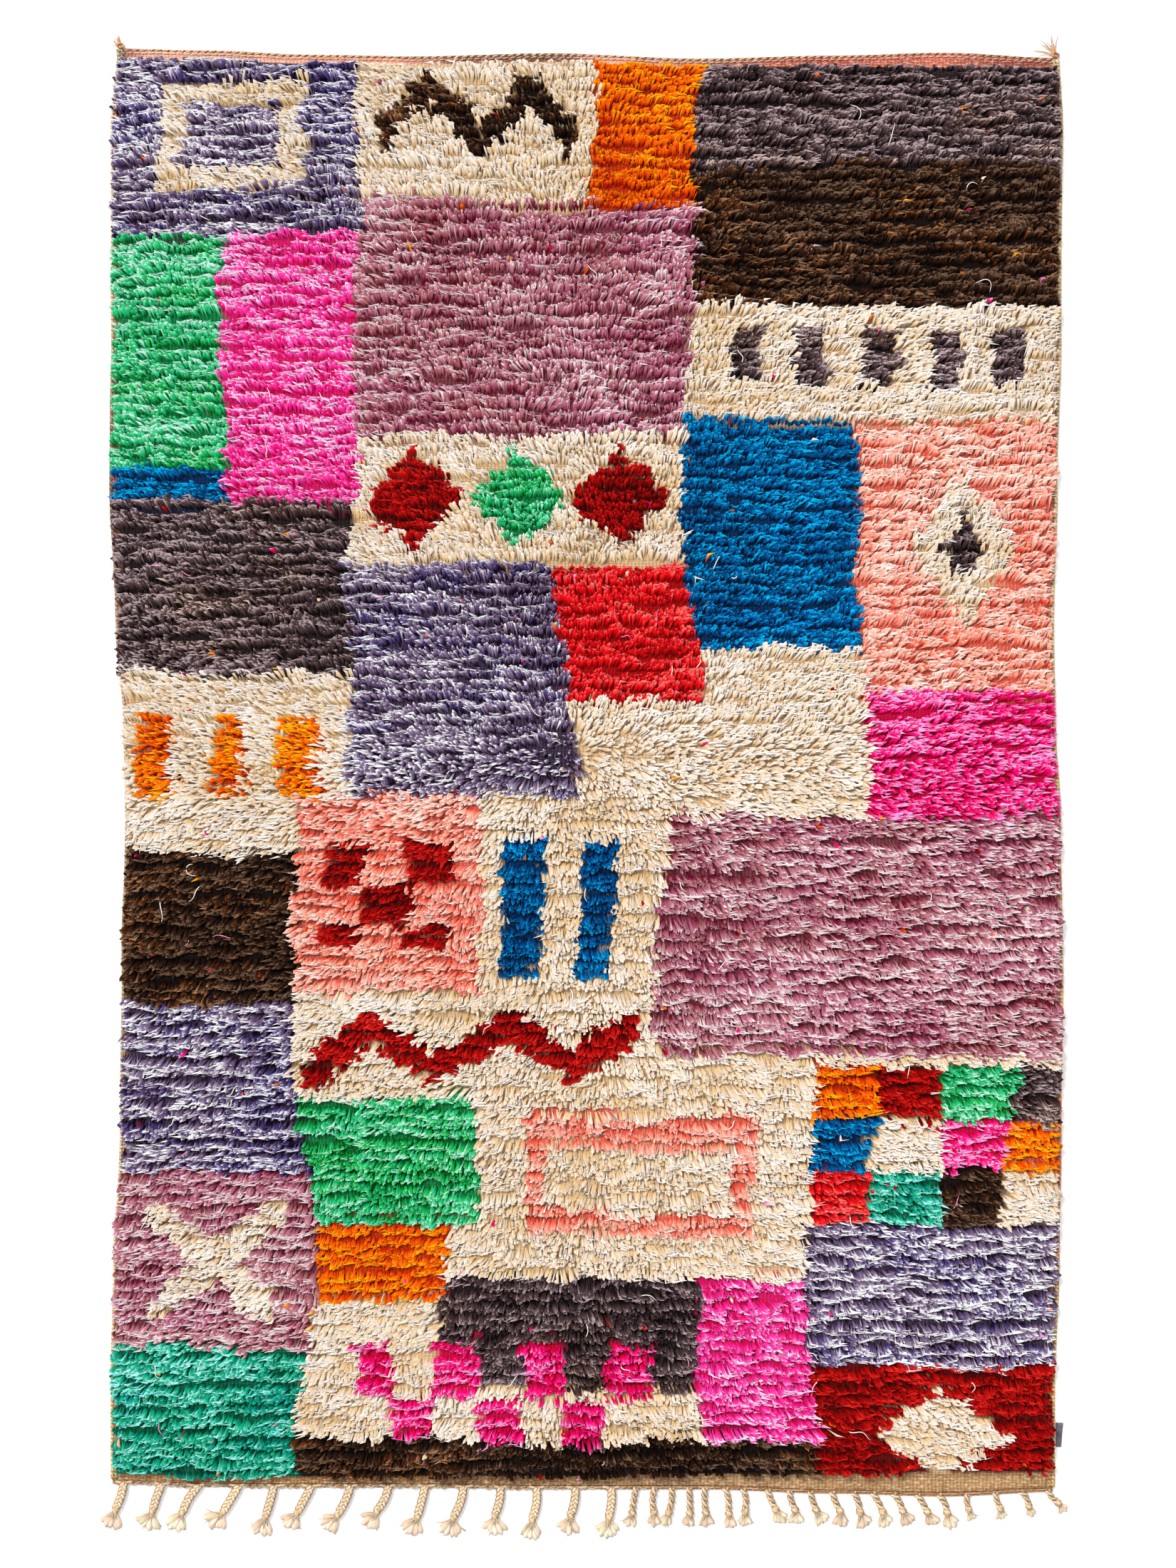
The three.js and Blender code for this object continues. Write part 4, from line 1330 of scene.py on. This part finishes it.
def twined_edging(warp):
    """Two twined cords along the lower end, the dark seam beside the weave, and loose loops of warp."""
    yarns = Yarns()
    x = np.linspace(EDGING_LEFT, EDGING_RIGHT, 440)
    edge = weave_end_y(across_of(x)) - GAP
    fade = ease(x, -0.1, 0.25)[:, None]
    tint = warp * 0.92 * (1 - fade) + linear((206, 162, 112)) * fade
    yarns.add(laid(x, edge - 0.0011, 0.0016)[::4], 0.0014, tint=tint[::4] * [0.6, 0.5, 0.4])
    for line in range(2):
        path = laid(x, edge - 0.0017 - 0.0026 * line, 0.0027 - 0.0003 * line)
        dark = tint * ([0.55, 0.42, 0.3] + fade * [0.35, 0.4, 0.45])
        radius = 0.0021 if line else 0.0019
        twisted(path, radius, EDGING_TURN, 2, yarns, tint, line * 5.0, second=dark, rim=0.9)
    for k, place in enumerate(np.arange(-0.79, 0.78, LOOP_PITCH)):
        loose = 1 - ease(place, -0.15, 0.45)
        if chance(k, 83) > 0.2 + 1.6 * loose:
            continue
        t = np.linspace(0, 1, 9)
        bow = np.sin(t * math.pi)
        size = (0.0058 + 0.0035 * chance(k, 84)) * (0.5 + 0.5 * loose)
        here = weave_end_y(across_of(place)) - GAP
        path = laid(
            place + (t - 0.5) * 0.016, here - 0.0016 - size * 0.62 * bow * loose, 0.0032 + 0.0018 * bow
        )
        pale = warp * (0.85 + 0.2 * chance(k, 85)) * ([1, 1, 1] if k % 3 else [0.72, 0.52, 0.36])
        loop = pale * (0.5 + 0.5 * loose) + tint[-1] * (0.5 - 0.5 * loose)
        yarns.add(path, 0.0014, sides=5, tint=loop, tone=k, rim=0.8)
    return yarns


class RUG_OT_woven_ends(bpy.types.Operator):
    """Lay the selvage cord along the top end, and the twined edging and warp loops along the lower one"""

    bl_idname = "rug.woven_ends"
    bl_label = "Woven ends"

    def execute(self, context):
        warp = np.array(context.scene.rug_tassels.warp_colour)
        for name, yarns, slot, node in (
            ("top_selvage", top_selvage(), "wool_pile", "rug"),
            ("twined_edging", twined_edging(warp), "warp_cotton", "tassel_fringe"),
        ):
            piece = yarns.piece(name)
            stands_for(piece, yarn_material(f"{name}_yarn", plies=2.0), slot, node)
        return {"FINISHED"}


def tassel_lines():
    """Where every tassel hangs, how wide and long it is, and which way it leans."""
    number = 0  # counts over all the groups
    for group in TASSEL_GROUPS:
        for k in range(group["count"]):
            share = k / (group["count"] - 1)
            x = (group["first"] + (group["last"] - group["first"]) * share + 3 * chance(number, 5)) * MM
            lean = group["lean_first"] + (group["lean_last"] - group["lean_first"]) * share
            lean += group["lean_wobble"] * chance(number, 6)
            length = group["length"] * (1 + 0.08 * chance(number, 7)) * MM
            yield number, group, x, math.pi - math.radians(lean), length
            number += 1


def lay_plait(yarns, number, centre, aside, at, length, width, ply, tint):
    """Three plies that pass over one another, darker as painted shade where a ply runs under the others."""
    for k in range(3):
        phase = 2 * math.pi * (at * length / PLAIT_TURN + k / 3)
        sway = aside * (np.sin(phase) * (width / 2 - ply) * (0.7 + 0.3 * ease(at, 0, 0.2)))[:, None]
        over = np.sin(2 * phase)
        rise = (ply * 1.66 + ply * 0.66 * over)[:, None] * UP
        # Painted shade: a ply darkens, and turns warmer, where it runs under the others.
        shade = (0.42 + 0.7 * ease(over, -0.7, 0.7))[:, None] ** [0.8, 1.1, 1.5]
        yarns.add(centre + sway + rise, ply, sides=8, tint=tint * shade, tone=k * 2.1 + number, rim=1.3)


def lay_legs(yarns, number, join, foot, tint):
    """The two strands that come out of the edging and run into a plait."""
    for leg in (-1, 1):
        t = np.linspace(0, 1, 7)
        step = 0.015 + 0.006 * chance(number, leg, 34)
        path = join + np.array([leg, 0, 0]) * (step * (1 - t) ** 1.4)[:, None]
        path[:, 1] += (foot - join[1] + 0.0022) * (1 - t) ** 0.6
        path[:, 2] = 0.0034 + 0.002 * t
        yarns.add(path, 0.0024 + 0.001 * t, tint=tint * 1.05, tone=number + leg, rim=1.2)


def lay_knot(yarns, number, end, way, width, fat, tint):
    """The knot that binds a tassel."""
    t = np.linspace(0, 1, 8)
    swell = fat * (0.62 + 0.38 * np.sin(t * math.pi))
    path = end + way * ((t - 0.25) * width * 0.8)[:, None] + UP * (swell * 0.84)[:, None]
    yarns.add(path, swell, sides=10, tint=tint * [0.95, 0.9, 0.82], tone=number * 1.3, flat=0.84, rim=0.9)


def lay_cut_end(yarns, rng, number, group, petals, threads, start, turn, tint):
    """Rounded petals that fan out from the knot, with thin threads over them."""
    width = group["width"] * MM
    _, aside = heading(turn)
    spread = math.atan2(group["tuft"] / 2, group["tuft_length"]) * 0.96
    turned = rng.normal(0, 0.12)
    blush = linear((240, 220, 200)) if chance(number, 35) > 0 else linear((240, 229, 207))
    fat = group["tuft"] * MM / petals * 0.84
    for t in range(petals + threads):
        is_petal = t < petals
        petal = t if is_petal else (t * 3) % petals
        out = ((petal + 0.5) / petals * 2 - 1) + 0.1 * chance(number, petal, 31)
        loose = 0.0 if is_petal else rng.normal(0, 0.08)
        size = group["tuft_length"] * 1.22 * (1 - 0.14 * out * out) * (1 + 0.1 * chance(number, petal, 32))
        reach = size * MM * (1.0 if is_petal else rng.uniform(0.86, 1.06))
        way, across = heading(turn - out * spread + turned + loose)
        s = np.linspace(0, 1, 9 if is_petal else 6)
        curl = (0.16 * chance(number, petal, 33) - 0.14 * out + loose) * reach
        height = (width * 0.3) * (1 - s) ** 1.5
        if is_petal:
            round_end = np.sqrt(1.02 - np.clip((s - 0.7) / 0.3, 0, 1) ** 2)
            thick = fat * (0.5 + 0.5 * ease(s, 0, 0.6)) * round_end
            height = height + thick * 0.4 + 0.0004 + 0.0005 * (petal % 2)
        else:
            thick = rng.uniform(0.0007, 0.0012) * (1.2 - 0.5 * s)
            lift = fat * (0.3 + 0.5 * rng.random())
            height = height + (thick + lift) * (1 - 0.6 * s**3) + 0.0004
        path = start + way * (reach * s)[:, None] + across * (curl * s**2)[:, None] + UP * height[:, None]
        path[0] = start + aside * -out * width * 0.22 + [0, 0, width * (0.3 + 0.15 * rng.random())]
        fade = ease(s, 0.1, 0.75)[:, None]
        pale = tint * 0.9 * (1 - fade) + blush * fade
        if is_petal:
            shade = rng.uniform(0.86, 1.0)
            yarns.add(path, thick, sides=8, tint=pale * shade, tone=t, flat=0.4, rim=0.42, run=0.2)
        else:
            shade = rng.uniform(0.74, 1.02)
            yarns.add(path, thick, sides=4, tint=pale * shade, tone=t, rim=0.35)


class RUG_OT_tassels(bpy.types.Operator):
    """Plait and cord the warp ends, bind each with a knot and fan out its cut end"""

    bl_idname = "rug.tassels"
    bl_label = "Tassels"

    def execute(self, context):
        sizes = context.scene.rug_tassels
        warp = np.array(sizes.warp_colour)
        plaits, tufts = Yarns(), Yarns()
        rng = np.random.default_rng(91)
        at = np.linspace(0, 1, 34)
        for number, group, x, turn, length in tassel_lines():
            foot = weave_end_y(across_of(x)) - GAP - EDGING_WIDTH * 0.6
            way, aside = heading(turn)
            width = group["width"] * MM
            tint = warp * (1 + 0.05 * chance(number, 12))
            bend = 0.0035 * chance(number, 13) * np.sin(at * math.pi)
            centre = np.array([x, foot, 0.0]) + way * (at * length)[:, None] + aside * bend[:, None]
            if group["plies"] == 3:
                ply = width * sizes.ply_share
                lay_plait(plaits, number, centre, aside, at, length, width, ply, tint)
                lay_legs(plaits, number, centre[2], foot, tint)
                knot_size, petals = 0.42, 7
            else:
                path = centre + [0, 0, width * 0.51]
                second = tint * [0.86, 0.82, 0.74]
                twisted(
                    path, width / 2, CORD_TURN, 2, plaits, tint, number,
                    share=0.5, sides=8, second=second, rim=1.1,
                )
                knot_size, petals = 0.6, 4
            end = centre[-1]
            lay_knot(plaits, number, end, way, width, width * knot_size, tint)
            threads = int(sizes.ends_per_tuft * petals / 7)
            start = end + way * width * 0.3
            lay_cut_end(tufts, rng, number, group, petals, threads, start, turn, tint)
        for yarns, name, plies in ((plaits, "plaited_tassels", 3.0), (tufts, "tassel_ends", 1.5)):
            piece = yarns.piece(name)
            material = yarn_material(f"{name}_yarn", plies=plies, depth=0.0005)
            stands_for(piece, material, "warp_cotton", "tassel_fringe")
        return {"FINISHED"}


class RUG_OT_corner_ends(bpy.types.Operator):
    """Knot and fray the warp ends at the two top corners"""

    bl_idname = "rug.corner_ends"
    bl_label = "Corner ends"

    def execute(self, context):
        for name, side, leans, reach in (("left", 1, (-75, -5), 0.020), ("right", -1, (-80, 2), 0.038)):
            node = f"corner_ends_{name}"
            low = Vector(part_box(node)[0])
            rng = np.random.default_rng(101 + side)
            yarns = Yarns()
            edge = left_x(0.0) if side > 0 else right_x(0.0)
            knot = np.array([edge + side * 0.0075, low.y + 0.0030, 0.0])
            pale, rosy = linear((226, 196, 156)), linear((206, 116, 92))
            for k in range(6):
                turn = rng.uniform(0, 2 * math.pi)
                t = np.linspace(0, 1, 12)
                loop = laid(
                    np.cos(turn + t * 5) * 0.0052, np.sin(turn + t * 5) * 0.0030, 0.0018 + 0.0034 * t
                )
                tint = pale * 0.25 + rosy * 0.75 if k % 3 else pale
                yarns.add(knot + loop + [0, 0.0014, 0], 0.0017, tint=tint, tone=k, rim=0.9)
            for k in range(15):
                t = np.linspace(0, 1, 9)
                way, aside = heading(math.radians(rng.uniform(*leans)))
                size = reach * rng.uniform(0.55, 1.0)
                curl = rng.normal(0.12 * side, 0.24) * size
                height = 0.0012 + 0.0024 * (1 - t)
                path = knot + way * (size * t)[:, None] + aside * (curl * t**2)[:, None]
                path = path + UP * height[:, None]
                blush = 0.5 * (k % 3 == 0)
                tint = pale * (1 - blush) + rosy * blush
                yarns.add(path, 0.0011 * (1.15 - 0.8 * t), sides=5, tint=tint, tone=k * 1.1, rim=0.9)
            piece = yarns.piece(f"frayed_corner_{name}")
            material = yarn_material(f"frayed_corner_{name}_yarn", plies=1.5, depth=0.0004)
            stands_for(piece, material, "warp_wool", node)
        return {"FINISHED"}


# The tab, in metres: the height of its middle and its thickness, its soft edge, and how far it slants.
TAB_LIFT, TAB_THICKNESS = 0.0007, 0.0009
TAB_SOFT_EDGE = 0.0003
TAB_SLANT = 0.0036


class RUG_OT_edge_tab(bpy.types.Operator):
    """Lay the blank ribbon tab at the right side, slanted and gently rippled"""

    bl_idname = "rug.edge_tab"
    bl_label = "Edge tab"

    def execute(self, context):
        low, high = (Vector(corner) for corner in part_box("edge_tab"))
        bpy.ops.object.select_all(action="DESELECT")
        middle = (low + high) / 2
        bpy.ops.mesh.primitive_grid_add(
            x_subdivisions=6, y_subdivisions=14, size=1, location=(middle.x, middle.y, low.z + TAB_LIFT)
        )
        tab = context.object
        tab.name = "blank_tab"
        tab.scale = (high.x - low.x, high.y - low.y, 1)
        bpy.ops.object.transform_apply(location=True, rotation=True, scale=True)
        mesh = bmesh.new()
        mesh.from_mesh(tab.data)
        for point in mesh.verts:
            from_top = (high.y - point.co.y) / (high.y - low.y)
            out = (point.co.x - low.x) / (high.x - low.x)
            point.co.x -= out * from_top * TAB_SLANT
            point.co.z += 0.0005 * math.sin(from_top * 7 + out * 2) * out + 0.0003 * out
        mesh.to_mesh(tab.data)
        mesh.free()
        solid = tab.modifiers.new("fold", "SOLIDIFY")
        solid.thickness = TAB_THICKNESS
        solid.offset = 0
        soft = tab.modifiers.new("soft edge", "BEVEL")
        soft.width, soft.segments = TAB_SOFT_EDGE, 2
        for modifier in ("fold", "soft edge"):
            bpy.ops.object.modifier_apply(modifier=modifier)
        bpy.ops.object.shade_smooth_by_angle(angle=math.radians(40))
        stands_for(tab, ribbon_material(), "ribbon", "edge_tab")
        return {"FINISHED"}


# How many threads lie loose, the part of the field they lie in, and how high they lie on the pile.
THREADS = 110
THREADS_ACROSS, THREADS_DOWN = (-0.77, 0.77), (-1.16, 1.17)
THREAD_HEIGHT = 0.0185


class RUG_OT_loose_threads(bpy.types.Operator):
    """Scatter a few curled loose threads over the pile"""

    bl_idname = "rug.loose_threads"
    bl_label = "Loose threads"

    def execute(self, context):
        rng = np.random.default_rng(111)
        yarns = Yarns()
        for k in range(THREADS):
            place = np.array([rng.uniform(*THREADS_ACROSS), rng.uniform(*THREADS_DOWN)])
            turn = lie_of(*place) + rng.normal(0, 0.6)
            t = np.linspace(0, 1, 11)
            angle = turn + rng.normal(0, 1.1) * t + 0.5 * np.sin(t * rng.uniform(3, 8) + k)
            size = rng.uniform(0.018, 0.05)
            steps = np.stack([np.sin(angle), np.cos(angle)], -1) * size / len(t)
            x, y = (place + np.cumsum(steps, axis=0)).T
            arch = np.sin(t * math.pi)
            path = laid(x, y, THREAD_HEIGHT + 0.0032 * arch - 0.004 * (1 - arch))
            tint = linear((250, 244, 234)) if k % 6 else linear((240, 150, 190))
            yarns.add(path, 0.00075 * (1.1 - 0.5 * t), sides=4, tint=tint, tone=k)
        piece = yarns.piece("loose_threads")
        material = yarn_material("loose_thread_yarn", plies=1.0, shade=0.3, depth=0.0002)
        stands_for(piece, material, "wool_pile", "rug")
        return {"FINISHED"}


# The floor lies just under the rug. The camera looks down on a place near the rug's middle. Its sensor is
# in millimetres.
FLOOR_SIZE, FLOOR_HEIGHT = 90, -0.0002
SIGHT = (0.0036, -0.0205)
SENSOR_WIDTH = 36
FAR_ENOUGH = 60


class RUG_OT_stage(bpy.types.Operator):
    """Set the pale floor, the soft lights and the camera straight above"""

    bl_idname = "rug.stage"
    bl_label = "Stage"

    def execute(self, context):
        settings = context.scene.rug_stage
        bpy.ops.object.select_all(action="DESELECT")
        bpy.ops.mesh.primitive_plane_add(size=FLOOR_SIZE, location=(0, 0, FLOOR_HEIGHT))
        floor = context.object
        floor.name = "pale_floor"
        floor.data.materials.append(floor_material(tuple(settings.floor_colour)))
        bpy.ops.object.light_add(type="SUN", location=(-2, 2.5, 4))
        key = context.object
        key.name = "key_light"
        key.rotation_euler = (math.radians(-33), math.radians(-30), 0)
        key.data.energy = settings.sun_strength
        key.data.angle = math.radians(24)
        world = bpy.data.worlds.new("soft_room")
        context.scene.world = world
        world.use_nodes = True
        sky = world.node_tree.nodes["Background"]
        sky.inputs["Color"].default_value = (1, 1, 1, 1)
        sky.inputs["Strength"].default_value = settings.sky_strength
        camera = bpy.data.objects.new("camera", bpy.data.cameras.new("camera"))
        context.scene.collection.objects.link(camera)
        camera.data.lens = settings.lens
        camera.data.sensor_width = SENSOR_WIDTH
        camera.data.clip_end = FAR_ENOUGH
        camera.location = (*SIGHT, settings.frame_height * settings.lens / SENSOR_WIDTH)
        context.scene.camera = camera
        context.scene.view_settings.view_transform = "Standard"
        return {"FINISHED"}


OPERATORS = [
    RUG_OT_ground_weave,
    RUG_OT_wool_pile,
    RUG_OT_bound_sides,
    RUG_OT_woven_ends,
    RUG_OT_tassels,
    RUG_OT_corner_ends,
    RUG_OT_edge_tab,
    RUG_OT_loose_threads,
    RUG_OT_stage,
]


class RUG_PT_panel(bpy.types.Panel):
    """Lists what makes the rug, and the sizes and colours that may be changed"""

    bl_idname = "RUG_PT_panel"
    bl_label = "Shag rug"
    bl_space_type = "VIEW_3D"
    bl_region_type = "UI"
    bl_category = "Rug"

    def draw(self, context):
        for name, group in GROUPS.items():
            box = self.layout.box()
            for key in group.__annotations__:
                box.prop(getattr(context.scene, name), key)
        for operator in OPERATORS:
            self.layout.operator(operator.bl_idname)


def register():
    for kind in (*GROUPS.values(), *OPERATORS, RUG_PT_panel):
        bpy.utils.register_class(kind)
    for name, group in GROUPS.items():
        setattr(bpy.types.Scene, name, bpy.props.PointerProperty(type=group))


def unregister():
    for name in GROUPS:
        delattr(bpy.types.Scene, name)
    for kind in reversed((*GROUPS.values(), *OPERATORS, RUG_PT_panel)):
        bpy.utils.unregister_class(kind)


def main():
    """Makes the rug and its stage."""
    register()
    for operator in OPERATORS:
        group, name = operator.bl_idname.split(".")
        getattr(getattr(bpy.ops, group), name)()


if __name__ == "__main__":
    main()
